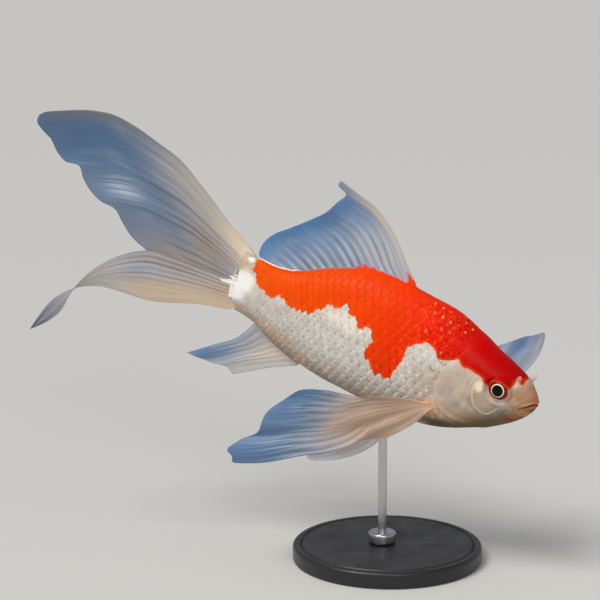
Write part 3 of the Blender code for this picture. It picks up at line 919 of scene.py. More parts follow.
def new_material(name: str, **constants: object) -> tuple[Material, Tree]:
    """A Principled material whose constants sit on the shader's own sockets.

    Args:
        name: The material's name.
        constants: Shader inputs, their words joined by underscores.

    Returns:
        The material and its tree.
    """
    material = bpy.data.materials.new(name)
    material.use_nodes = True
    tree = Tree(material.node_tree)
    tree.feed(**constants)
    return material, tree


# ---- finishes


FLESH_SHADER = {
    "specular_ior_level": 0.05, "subsurface_radius": (0.003, 0.0012, 0.0008), "subsurface_scale": 1,
}


class FleshColouring(Group):
    """The red and white colouring, from the numbers and the colour stored on the mesh."""

    def __init__(self) -> None:
        """Builds the group."""
        inputs = {"Raggedness": 0.5, "Softness": 0.12, "Fleck strength": 0.5}
        super().__init__("flesh", inputs, {"Colour": "Color", "Roughness": "Float", "Red": "Float"})
        place = self.place()
        ragged = self.times(self.math("SUBTRACT", self.noise(place, 650, 3), 0.5), self.given["Raggedness"])
        edge = self.math("ADD", self.value("mark"), ragged)
        share = self.ramp(self.math("DIVIDE", edge, self.given["Softness"]), -1, 1)
        blotches = self.ramp(self.noise(place, 330, 3), 0.38, 0.68)
        colour = self.mix(share, self.pale(place, edge, blotches), self.red(place, edge))
        colour = self.mix(self.value("lips"), colour, (176, 20, 12))
        # The ring round each eye: a flush of the skin, and over the top a painted highlight on the rim.
        colour = self.mix(self.times(self.value("orbit"), 0.75), colour, (204, 84, 56))
        self.put_out(colour=colour, roughness=self.ramp(blotches, 0, 1, 0.38, 0.52), red=share)

    def pale(self, place: Socket, edge: Socket, blotches: Socket) -> Socket:
        """The pale skin, with its flecks and an orange fringe beside the red.

        Args:
            place: Object coordinates.
            edge: How far inside the red the place lies.
            blotches: The mask of broad blotches.

        Returns:
            The colour.
        """
        flesh = self.colour("flesh")
        lightness = self.add("RGBToBW", {0: flesh}).outputs[0]
        calm = self.times(self.ramp(lightness, 0.72, 0.9, 1, 0.1), self.ramp(lightness, 0.15, 0.45))
        strength = self.times(self.given["Fleck strength"], calm)
        fine = self.noise(place, 1300)
        colour = flesh
        for mask, much, shade, mode in (
            (self.ramp(fine, 0.54, 0.72), strength, (150, 146, 140), "MULTIPLY"),
            (blotches, self.times(calm, 0.3), (206, 198, 194), "MULTIPLY"),
            (self.ramp(self.noise(place, 900), 0.55, 0.7), strength, (255, 252, 244), "MIX"),
            (self.ramp(fine, 0.44, 0.6), self.ramp(edge, -1, 0, 0, 0.5), (244, 158, 104), "MIX"),
        ):
            colour = self.mix(self.times(mask, much), colour, shade, mode)
        return colour

    def red(self, place: Socket, edge: Socket) -> Socket:
        """The red, from orange at the tail to crimson at the snout.

        Args:
            place: Object coordinates.
            edge: How far inside the red the place lies.

        Returns:
            The colour.
        """
        along = self.value("along")
        colour = self.gradient(along, (
            (0, (250, 90, 2)), (0.3, (248, 78, 1)), (0.5, (244, 62, 1)),
            (0.66, (232, 24, 1)), (0.8, (194, 2, 0)), (1, (146, 1, 0)),
        ))
        mottle = self.ramp(self.noise(place, 240, 3), 0.35, 0.75)
        mottle = self.times(mottle, self.ramp(along, 0.6, 0.78, 0.4, 0.1))
        colour = self.mix(mottle, colour, (255, 110, 20), "SOFT_LIGHT")
        colour = self.mix(self.ramp(edge, 0, 1.4, 0.3, 0), colour, (250, 104, 24))
        dabs = self.ramp(self.noise(self.stretched(place, (1, 1, 0.55)), 1150), 0.5, 0.64)
        for low, high in ((0.5, 0.62), (0.78, 0.68)):
            dabs = self.times(dabs, self.ramp(along, low, high))
        return self.mix(self.times(dabs, 0.28), colour, (255, 112, 40))


@dataclass(frozen=True)
class SkinFinish:
    """Wet, faintly pored skin."""

    coat: float = 0.07
    pore_depth: float = 0.00012

    def material(self, flesh: Group) -> Material:
        """The skin's material."""
        made, tree = new_material(
            "wet_skin", coat_weight=self.coat, coat_roughness=0.2, subsurface_weight=0.1, **FLESH_SHADER)
        laid = flesh.use_in(tree, raggedness=1, softness=0.25, fleck_strength=0.05)
        pores = tree.noise(tree.place(), 1900)
        tree.feed(base_color=laid["Colour"], roughness=laid["Roughness"],
                  normal=tree.bump(pores, self.pore_depth, 0.35))
        return made


@dataclass(frozen=True)
class ScaleFinish:
    """Scales with a nacreous sheen, each a touch lighter or darker than the next, and a small painted glint
    on some of them.
    """

    coat: float = 0.04

    def material(self, flesh: Group) -> Material:
        """The scales' material."""
        made, tree = new_material(
            "scales", coat_weight=self.coat, coat_roughness=0.24, subsurface_weight=0.06, **FLESH_SHADER)
        laid = flesh.use_in(tree, raggedness=0.8, softness=0.15, fleck_strength=0.34)
        own = tree.ramp(tree.value("scale_shade"), 0, 1, 0, 0.16)
        colour = tree.mix(own, laid["Colour"], (190, 182, 176), "MULTIPLY")
        rim = tree.times(tree.value("scale_rim"), 0.14)
        colour = tree.mix(rim, colour, (255, 246, 226), "SOFT_LIGHT")
        where = tree.surface("scale_uv")
        # A small painted glint towards the rear of some scales.
        away = tree.add("VectorMath", {0: tree.stretched(where, (6, 3, 1)), 1: (9.6, 0.6, 0)},
                        operation="DISTANCE")
        glint_spot = tree.ramp(away.outputs["Value"], 1, 0.35)
        glint_spot = tree.times(glint_spot, tree.ramp(tree.noise(tree.place(), 800), 0.42, 0.6))
        glint = tree.times(tree.value("scale_glint"), glint_spot)
        # wet is the painted glint's colour: white on the pale skin and orange on the red.
        wet = tree.mix(laid["Red"], (255, 253, 248), (255, 170, 120))
        colour = tree.mix(tree.times(glint, 0.75), colour, wet)
        growth = tree.add("TexWave", {"Vector": where, "Scale": 3.2, "Distortion": 0.6}, wave_type="RINGS")
        tree.feed(base_color=colour, roughness=laid["Roughness"],
                  normal=tree.bump(growth.outputs["Fac"], 0.00003, 0.4))
        return made


@dataclass(frozen=True)
class FinFinish:
    """Blue-grey membrane between paler rays, cream and opaque at its base."""

    dark: Shade = (74, 92, 124)
    light: Shade = (176, 182, 196)
    ray: Shade = (206, 210, 220)
    line: Shade = (62, 70, 92)
    chalk: Shade = (252, 248, 238)

    def material(self) -> Material:
        """The fins' material."""
        made, tree = new_material(
            "fin_membrane", roughness=0.42, coat_weight=0.14, coat_roughness=0.2, specular_ior_level=0.2)
        where = tree.surface("fin_uv")
        streaks = tree.noise(tree.stretched(where, (90, 3, 1)), 1, 3)
        grain = tree.value("grain")
        clouds = tree.noise(tree.stretched(where, (5, 4, 1)), 1)
        colour = tree.mix(tree.ramp(clouds, 0.5, 0.8, 0, 0.25), tree.colour("membrane"), self.light)
        colour = tree.mix(tree.ramp(clouds, 0.5, 0.2, 0, 0.25), colour, self.dark)
        for end, shown in ((0.75, self.ray), (0.25, self.line)):
            share = tree.times(tree.ramp(streaks, 0.5, end, 0, 0.24), grain)
            colour = tree.mix(share, colour, shown)
        colour = tree.mix(tree.value("ray"), colour, self.ray)
        colour = tree.mix(tree.value("line"), colour, self.line)
        # shine is a painted highlight, streaked along the rays.
        shine = tree.times(tree.value("shine"), tree.ramp(streaks, 0.35, 0.65))
        colour = tree.mix(shine, colour, (214, 224, 240))
        frayed = tree.math("MULTIPLY_ADD", tree.noise(tree.place(), 1600, 3), 0.8, tree.value("chalk"))
        colour = tree.mix(tree.ramp(frayed, 0.66, 1), colour, self.chalk)
        red = tree.gradient(tree.value("along"), ((0, (250, 92, 4)), (0.66, (236, 40, 3))))
        colour = tree.mix(tree.value("red"), colour, red)
        joints = tree.add("TexWave", {"Vector": where, "Scale": 16, "Distortion": 1},
                          bands_direction="Y", wave_type="BANDS")
        height = tree.math("MULTIPLY_ADD", joints.outputs["Fac"], tree.value("ray"),
                           tree.times(streaks, grain))
        tree.feed(base_color=colour, alpha=tree.value("cover"), normal=tree.bump(height, 0.0001, 0.4))
        return made


@dataclass(frozen=True)
class EyeFinish:
    """A black pupil in a pale gold ring, in a dark red-brown iris, all wet."""

    def material(self) -> Material:
        """The eyes' material."""
        made, tree = new_material("eye", roughness=0.3, coat_weight=0.6, coat_roughness=0.03,
                                          coat_ior=1.3, specular_ior_level=0.05)
        ragged = tree.times(tree.math("SUBTRACT", tree.noise(tree.place(), 1600), 0.5), 0.2)
        radius = tree.math("DIVIDE", tree.math("ADD", tree.value("from_pupil"), ragged), 4.4)
        gold = (240, 222, 190)
        colour = tree.gradient(radius, (
            (0, (3, 3, 4)), (0.45, (4, 3, 3)), (0.475, gold), (0.53, gold),
            (0.565, (96, 22, 10)), (0.64, (112, 18, 8)), (0.76, (168, 26, 10)),
        ))
        tree.feed(base_color=colour)
        return made


@dataclass(frozen=True)
class StandFinish:
    """Satin black base, and steel brushed along its length."""

    def painted(self) -> Material:
        """The base's paint, with its slight orange peel."""
        made, tree = new_material("satin_black", base_color=(30, 30, 32))
        peel = tree.noise(tree.place(), 900)
        dust = tree.noise(tree.place(), 120, 4)
        tree.feed(roughness=tree.ramp(dust, 0.3, 0.8, 0.32, 0.5), normal=tree.bump(peel, 0.00008, 0.2))
        return made

    def brushed(self) -> Material:
        """The rod's and the collar's steel."""
        made, tree = new_material("brushed_steel", base_color=(196, 196, 198), metallic=1)
        lines = tree.noise(tree.stretched(tree.place(), (9000, 9000, 250)), 1)
        tree.feed(roughness=tree.ramp(lines, 0.3, 0.7, 0.2, 0.38), normal=tree.bump(lines, 0.00004, 0.3))
        return made


# ---- meshes


def slab(across: int, out: int) -> bmesh.types.BMesh:
    """A closed sheet over the unit square, whose lower skin is at z = 0 and upper skin at z = 1.

    Args:
        across: Faces along x.
        out: Faces along y.

    Returns:
        The sheet.
    """
    bm = bmesh.new()
    bmesh.ops.create_grid(bm, x_segments=across, y_segments=out, size=0.5)
    bmesh.ops.translate(bm, vec=(0.5, 0.5, 0), verts=bm.verts)
    raised = bmesh.ops.extrude_face_region(bm, geom=bm.faces[:])["geom"]
    top = [item for item in raised if isinstance(item, bmesh.types.BMVert)]
    bmesh.ops.translate(bm, vec=(0, 0, 1), verts=top)
    bmesh.ops.recalc_face_normals(bm, faces=bm.faces)
    return bm


def mesh_from(bm: bmesh.types.BMesh, name: str) -> Mesh:
    """A mesh from a bmesh, which is freed."""
    mesh = bpy.data.meshes.new(name)
    bm.to_mesh(mesh)
    bm.free()
    return mesh


def ball(name: str, sides: int, rings: int) -> Mesh:
    """A ball of radius one, its poles up and down."""
    bm = bmesh.new()
    bmesh.ops.create_uvsphere(bm, u_segments=sides, v_segments=rings, radius=1)
    return mesh_from(bm, name)


def add_object(name: str, data: bpy.types.ID) -> Piece:
    """Puts a new object in the scene, at the origin."""
    made = bpy.data.objects.new(name, data)
    bpy.context.scene.collection.objects.link(made)
    return made


def aim(name: str, data: bpy.types.ID, place: Spot, target: Spot) -> Piece:
    """Puts a new light or camera in the scene, where it faces the target."""
    made = add_object(name, data)
    made.location = place
    made.rotation_mode = "QUATERNION"
    made.rotation_quaternion = (Vector(place) - Vector(target)).to_track_quat("Z", "Y")
    return made


def corners(mesh: Mesh) -> Array:
    """The mesh's points, one a row."""
    flat = np.zeros(len(mesh.vertices) * 3, np.float32)
    mesh.vertices.foreach_get("co", flat)
    return flat.reshape(-1, 3).astype(float)


def move_corners(mesh: Mesh, points: Array) -> None:
    """Gives the mesh's points new places, and turns its faces outwards if they came out inside in."""
    mesh.vertices.foreach_set("co", points.astype(np.float32).ravel())
    mesh.update()
    mesh.calc_loop_triangles()
    triangles = np.zeros(len(mesh.loop_triangles) * 3, np.int32)
    mesh.loop_triangles.foreach_get("vertices", triangles)
    a, b, c = points[triangles.reshape(-1, 3)].transpose(1, 0, 2)
    if (np.cross(a, b) * c).sum() < 0:
        mesh.flip_normals()


def store(mesh: Mesh, **values: Array) -> None:
    """Stores numbers or colours on the mesh, one for each of its points, by name."""
    for name, each in values.items():
        if np.ndim(each) > 1:
            attribute = mesh.attributes.new(name, "FLOAT_COLOR", "POINT")
            solid = np.concatenate([each, np.ones((len(each), 1))], axis=1)
            attribute.data.foreach_set("color", solid.astype(np.float32).ravel())
        else:
            attribute = mesh.attributes.new(name, "FLOAT", "POINT")
            attribute.data.foreach_set("value", np.asarray(each, np.float32))


def loop_corners(mesh: Mesh) -> Array:
    """The number of the point that each face corner stands on."""
    found = np.zeros(len(mesh.loops), np.int32)
    mesh.loops.foreach_get("vertex_index", found)
    return found


def store_uv(mesh: Mesh, name: str, places: Array) -> None:
    """Stores a UV map, from a place for each face corner or for each point."""
    if len(places) != len(mesh.loops):
        places = places[loop_corners(mesh)]
    mesh.uv_layers.new(name=name).data.foreach_set("uv", places.astype(np.float32).ravel())


def finish_piece(mesh: Mesh, name: str, material: Material,
                 replaces: tuple[str, ...] | None = None) -> Piece:
    """Makes a finished mesh into a piece that rides on the fish's one body.

    Args:
        mesh: The mesh, in place.
        name: The piece's name.
        material: Its material.
        replaces: The solids that it stands for, where that isn't the one of its own name.

    Returns:
        The piece.
    """
    mesh.materials.append(material)
    mesh.shade_smooth()
    piece = add_object(name, mesh)
    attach(piece, "root")
    if replaces != ():
        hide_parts(*(replaces or (name,)))
    mesh.calc_loop_triangles()
    LOG.info("%s: %d triangles", name, len(mesh.loop_triangles))
    return piece


# ---- skin and scales


@dataclass
class Fish:
    """What every part of the fish is made from."""

    stance: Stance
    body: Body
    relief: Relief
    markings: Markings
    colouring: FleshColouring

    def store_flesh(self, mesh: Mesh, points: Array, marks: Array | None = None) -> None:
        """Stores on a mesh all that the flesh colouring reads.

        Args:
            mesh: The mesh.
            points: Its points in the straight frame.
            marks: How far inside the red each lies, where that isn't measured at the point itself.
        """
        store(mesh, mark=self.markings.red(points) if marks is None else marks,
              along=self.body.along(points), lips=self.markings.lips(points),
              orbit=self.markings.orbit(points), flesh=self.markings.pale(points))


@dataclass
class Skin:
    """One skin over head, jaw, gill covers, trunk and tail stalk."""

    fish: Fish
    sides: int = 230
    ring_density: tuple[Place, ...] = (
        (0, 9), (3, 7), (36, 5.6), (42, 2), (112, 2), (117, 4), (119.5, 7),
    )

    def ring_places(self) -> Array:
        """How far behind the snout each ring of points lies."""
        distance = np.linspace(0, self.fish.body.length, 4000)
        density = np.interp(distance, *zip(*self.ring_density))
        passed = np.concatenate([[0], np.cumsum(density[1:] * np.diff(distance))])
        rings = round(passed[-1])
        return np.interp(np.linspace(0, passed[-1], rings + 1), passed, distance)

    def build(self) -> Piece:
        """Makes the skin from a ball whose rings become the body's sections."""
        body = self.fish.body
        places = self.ring_places()
        rings = len(places) - 1
        mesh = ball("skin", self.sides, rings)
        x, y, z = corners(mesh).T
        ring = np.arccos(np.clip(z, -1, 1)) / math.pi * rings
        distance = np.interp(ring, np.arange(rings + 1), places)
        angle = np.arctan2(x, y)
        plain = body.at(distance, angle)
        shaped = self.fish.relief.raised(plain, body.normal(distance, angle))
        self.fish.store_flesh(mesh, plain)
        self.unwrap(mesh, distance / body.length, angle)
        move_corners(mesh, self.fish.stance.placed(shaped))
        flesh = ("head", "lower_jaw", "gill_cover_right", "gill_cover_left", "trunk", "tail_stalk")
        wet = SkinFinish().material(self.fish.colouring)
        return finish_piece(mesh, "skin", wet, flesh)

    def unwrap(self, mesh: Mesh, share: Array, angle: Array) -> None:
        """Lays the skin out flat by its distance along and round the body, cut along the belly.

        Args:
            mesh: The skin's mesh.
            share: Each point's share of the body's length.
            angle: Its angle round the body.
        """
        corner = loop_corners(mesh)
        starts = np.zeros(len(mesh.polygons), np.int32)
        totals = np.zeros(len(mesh.polygons), np.int32)
        mesh.polygons.foreach_get("loop_start", starts)
        mesh.polygons.foreach_get("loop_total", totals)
        turned = angle[corner]
        face = np.repeat(np.arange(len(starts)), totals)
        highest = np.maximum.reduceat(turned, starts)
        lowest = np.minimum.reduceat(turned, starts)
        split = (highest - lowest > math.pi)[face]
        turned = np.where(split & (turned < 0), turned + math.tau, turned)
        around = turned / math.tau + 0.5
        store_uv(mesh, "OFBake", points_from(share[corner], around / UV_ROOM))


@dataclass
class ScaleCoat:
    """Overlapping scales in offset rows, from the gill opening to the tail base."""

    fish: Fish
    rows: int = 30
    length_share: float = 0.86
    half_length: float = 1.08
    half_height: float = 0.86
    faces: tuple[int, int] = (6, 5)
    thickness: float = 0.055
    tilt: float = 0.09
    crown: float = 0.02
    patch: float = 0.0015
    first: float = 22  # how far behind the snout the lattice starts
    last_gap: float = 0.4  # how far short of the body's end it stops
    bare_gap: float = 1.5  # how much of the body's end wears no scales
    proud: float = 0.12  # how far the scales stand over the skin
    dip: float = 0.2  # how far they sink in where the head begins
    seen_at: float = 0.35  # how far behind a scale's root its bare part lies, in columns
    worn_seed: int = 5
    shade_seed: int = 11

    def __post_init__(self) -> None:
        """Works out where columns and rows of scales lie on the body."""
        body = self.fish.body
        self.distances = np.linspace(self.first, body.length - self.last_gap, 220)
        angles = np.linspace(0, math.pi, 241)
        grid = body.at(*np.meshgrid(self.distances, angles, indexing="ij"))
        steps = np.linalg.norm(np.diff(grid, axis=1), axis=-1)
        round_half = np.concatenate([np.zeros((len(steps), 1)), np.cumsum(steps, axis=1)], axis=1)
        shares = np.linspace(0, 1, 121)
        self.angle_table = np.array([np.interp(shares * row[-1], row, angles) for row in round_half])
        self.row_height = 2 * round_half[:, -1] / self.rows
        spacing = self.row_height * self.length_share
        passed = np.cumsum(np.diff(self.distances) / spacing[1:])
        self.columns_passed = np.concatenate([[0], passed])
        self.columns = int(self.columns_passed[-1])

    def on_body(self, column: Array, row: Array) -> tuple[Array, Array]:
        """Turns places in the rows and columns into distances and angles on the body."""
        distance = np.interp(column, self.columns_passed, self.distances)
        turn = (row / self.rows + 0.5) % 1 - 0.5
        share = np.clip(np.abs(turn) * 2, 0, 1) * (self.angle_table.shape[1] - 1)
        level = np.interp(distance, self.distances, np.arange(len(self.distances)))
        i = np.clip(level.astype(int), 0, len(self.distances) - 2)
        j = np.clip(share.astype(int), 0, self.angle_table.shape[1] - 2)
        u = level - i
        v = share - j
        table = self.angle_table
        near = table[i, j] * (1 - v) + table[i, j + 1] * v
        far = table[i + 1, j] * (1 - v) + table[i + 1, j + 1] * v
        return distance, (near * (1 - u) + far * u) * np.where(turn < 0, -1, 1)

    def template(self) -> Mesh:
        """One scale and its neighbour in the next row, as thin round plates on the unit lattice."""
        bm = slab(*self.faces)
        for vert in bm.verts:
            x = vert.co.x * 2 - 1
            y = vert.co.y * 2 - 1
            vert.co.x = x * math.sqrt(1 - y * y / 2) * self.half_length
            vert.co.y = y * math.sqrt(1 - x * x / 2) * self.half_height
        pair = bmesh.ops.duplicate(bm, geom=bm.verts[:] + bm.edges[:] + bm.faces[:])["geom"]
        second = [item for item in pair if isinstance(item, bmesh.types.BMVert)]
        bmesh.ops.translate(bm, vec=(0.5, 1, 0), verts=second)
        return mesh_from(bm, "scale_pair")

    def lattice(self) -> Mesh:
        """Every scale, flat on the lattice: x counts columns and y counts rows."""
        flat = add_object("scale_lattice", self.template())
        for count, offset in ((self.columns, (1, 0, 0)), (self.rows // 2, (0, 2, 0))):
            array = flat.modifiers.new("array", "ARRAY")
            array.count = count
            array.use_relative_offset = False
            array.use_constant_offset = True
            array.constant_offset_displace = offset
        graph = bpy.context.evaluated_depsgraph_get()
        mesh = bpy.data.meshes.new_from_object(flat.evaluated_get(graph))
        bpy.data.objects.remove(flat)
        return mesh

    def build(self) -> list[Piece]:
        """Makes the right and the left coat."""
        flat = self.lattice()
        count = self.columns * self.rows
        roots = corners(flat).reshape(count, -1, 3)[:, :, :2].mean(axis=1)
        roots = np.round(roots * 2) / 2
        material = ScaleFinish().material(self.fish.colouring)
        distance, angle = self.on_body(*roots.T)
        centre = self.fish.body.at(distance, angle)
        ragged = 0.2 + 0.2 * np.random.default_rng(self.worn_seed).random(count)
        worn = self.fish.relief.coat_share(centre) > ragged
        worn &= distance < self.fish.body.length - self.bare_gap
        made = []
        for side in Side:
            kept = worn & ((angle > 1e-6) == (side is Side.LEFT))
            made.append(self.side_coat(flat, roots, kept, side, material))
        bpy.data.meshes.remove(flat)
        LOG.info("scales: %d of %d", worn.sum(), count)
        return made

    def side_coat(self, flat: Mesh, roots: Array, kept: Array, side: Side, material: Material) -> Piece:
        """Makes one side's coat.

        Args:
            flat: All the scales, flat on the lattice.
            roots: Each scale's own place on the lattice.
            kept: Which scales this side wears.
            side: The side.
            material: The scales' material.

        Returns:
            The coat.
        """
        points = corners(flat)
        plate = len(points) // len(roots)
        bm = bmesh.new()
        bm.from_mesh(flat)
        bm.verts.ensure_lookup_table()
        dropped = [vert for vert in bm.verts if not kept[vert.index // plate]]
        bmesh.ops.delete(bm, geom=dropped, context="VERTS")
        name = f"scales_{side.name.lower()}"
        mesh = mesh_from(bm, name)

        owner = np.repeat(np.flatnonzero(kept), plate)
        column, row, layer = points[np.repeat(kept, plate)].T
        along = (column - roots[owner, 0]) / self.half_length
        across = (row - roots[owner, 1]) / self.half_height
        distance, angle = self.on_body(column, row)
        height = np.interp(distance, self.distances, self.row_height) / self.row_height.max()
        plain = self.fish.body.at(distance, angle)
        normal = self.fish.body.normal(distance, angle)
        rim = np.hypot(along, across)
        lift = self.tilt * (along + 1) * height + self.crown * (1 - rim * rim) * height
        edge = self.thickness * (1 - 0.7 * smoothstep(rim, 0.75, 0.3))
        out_of_head = self.fish.relief.coat_share(plain)
        lift = (lift + self.proud) * out_of_head - self.dip + (layer - 0.5) * edge
        shaped = self.fish.relief.raised(plain, normal, lift)

        seen = self.fish.body.at(*self.on_body(roots[:, 0] + self.seen_at, roots[:, 1]))
        rng = np.random.default_rng(self.shade_seed)
        own_shade = rng.random(len(roots))
        own_mark = self.fish.markings.red(seen) + rng.normal(0, 0.35, len(roots))
        whole = (0.5 - 0.5 * smoothstep(seen[:, 0], 6, 5))[owner]
        marks = whole * own_mark[owner] + (1 - whole) * self.fish.markings.red(plain)
        self.fish.store_flesh(mesh, plain, marks)
        # Which scales get a painted glint: a random few, most of them near the shoulder.
        glint_chance = own_shade * bump((seen[:, 0] - 19) / 17)
        store(mesh, scale_shade=own_shade[owner], scale_rim=smoothstep(rim, 0.7, 0.3) * (along > 0),
              scale_glint=smoothstep(glint_chance, 0.35, 0.2)[owner])

        start, around = self.on_body(*roots.T)
        root_uv = points_from(start / self.fish.body.length, (around / math.tau + 0.5) / UV_ROOM)
        local = points_from(along, across)
        store_uv(mesh, "OFBake", root_uv[owner] + self.patch * local)
        store_uv(mesh, "scale_uv", local + (1, 0))
        move_corners(mesh, self.fish.stance.placed(shaped))
        return finish_piece(mesh, name, material, ())


# ---- fins


@dataclass(frozen=True)
class FinShape:
    """A fin's surface between four edges.

    front and rear run from the root to the rim along the first and last ray. root and rim are the places
    between those two. waves is the height, count and phase of the soft folds that grow towards the rim.
    """

    front: tuple[Spot, ...]
    rear: tuple[Spot, ...]
    waves: Spot
    root: tuple[Spot, ...] = ()
    rim: tuple[Spot, ...] = ()

    def at(self, across: Array, out: Array) -> Array:
        """Points on the fin.

        Args:
            across: From 0 at the first ray to 1 at the last.
            out: From 0 at the root to 1 at the rim.

        Returns:
            The points, one a row.
        """
        root_line = (self.front[0], *self.root, self.rear[0])
        rim_line = (self.front[-1], *self.rim, self.rear[-1])
        front, rear, root, rim = map(Smooth.along, (self.front, self.rear, root_line, rim_line))
        height, count, phase = self.waves
        a = across[..., None]
        o = out[..., None]
        between_rays = (1 - a) * front(out) + a * rear(out)
        from_root_to_rim = (1 - o) * root(across) + o * rim(across)
        ends = (1 - a) * (1 - o) * root(0) + a * (1 - o) * root(1)
        ends = ends + (1 - a) * o * rim(0) + a * o * rim(1)
        points = between_rays + from_root_to_rim - ends
        fold = np.sin(math.pi * across) * np.sin(math.tau * (count * across + phase))
        points[..., 1] += height * out * out * fold
        return points

    def normal(self, across: Array, out: Array) -> Array:
        """The direction square to the fin at each point."""
        step = 0.004
        along = self.at(across, np.minimum(out + step, 1)) - self.at(across, np.maximum(out - step, 0))
        over = self.at(np.minimum(across + step, 1), out) - self.at(np.maximum(across - step, 0), out)
        normal = np.cross(over, along)
        return normal / np.maximum(np.linalg.norm(normal, axis=-1, keepdims=True), 1e-9)


@dataclass(frozen=True)
class Wash:
    """A soft wash of colour on a fin, each place given as its middle and its half width."""

    shade: Shade
    across: Place
    out: Place

    def over(self, under: Array, across: Array, out: Array) -> Array:
        """Lays the wash over colours at places on the fin."""
        weight = bump((across - self.across[0]) / self.across[1]) * bump((out - self.out[0]) / self.out[1])
        return under + weight[:, None] * (np.array(paint(self.shade)) - under)


@dataclass(frozen=True)
class FinLook:
    """How one fin's rays and colours run. Places across and out run from 0 to 1."""

    rays: int
    steps: tuple[int, int]
    relief: float = 0.6  # how boldly rays and folds between them stand out
    fork: float = 0.45  # how far out the rays fork, or 1 for not at all
    ray_end: float = 0.8  # how far out the rays melt into the membrane
    pale_rays: float = 0.4
    dark_lines: float = 0.3
    line_end: float = 0.8
    membrane: Shade = (126, 143, 168)
    washes: tuple[Wash, ...] = ()
    lead_ray: float = 0.6
    teeth: tuple[Place, ...] = ()  # across, and how far the body's red climbs the rays there
    chalk: Spot = (0, 0.5, 1)  # how far the white of the base climbs, its middle across and half width
    shine: tuple[float, float, float, float] = (0.5, 0.5, 0, 0)  # a painted highlight: across, out, and the two half widths
    smooth_rear: float = 0  # how much rays and lines fade towards the last ray
    clear_rim: float = 0.1
    foot: float = 1.4  # how much thicker the fin is where it leaves the body
    seed: int = 1


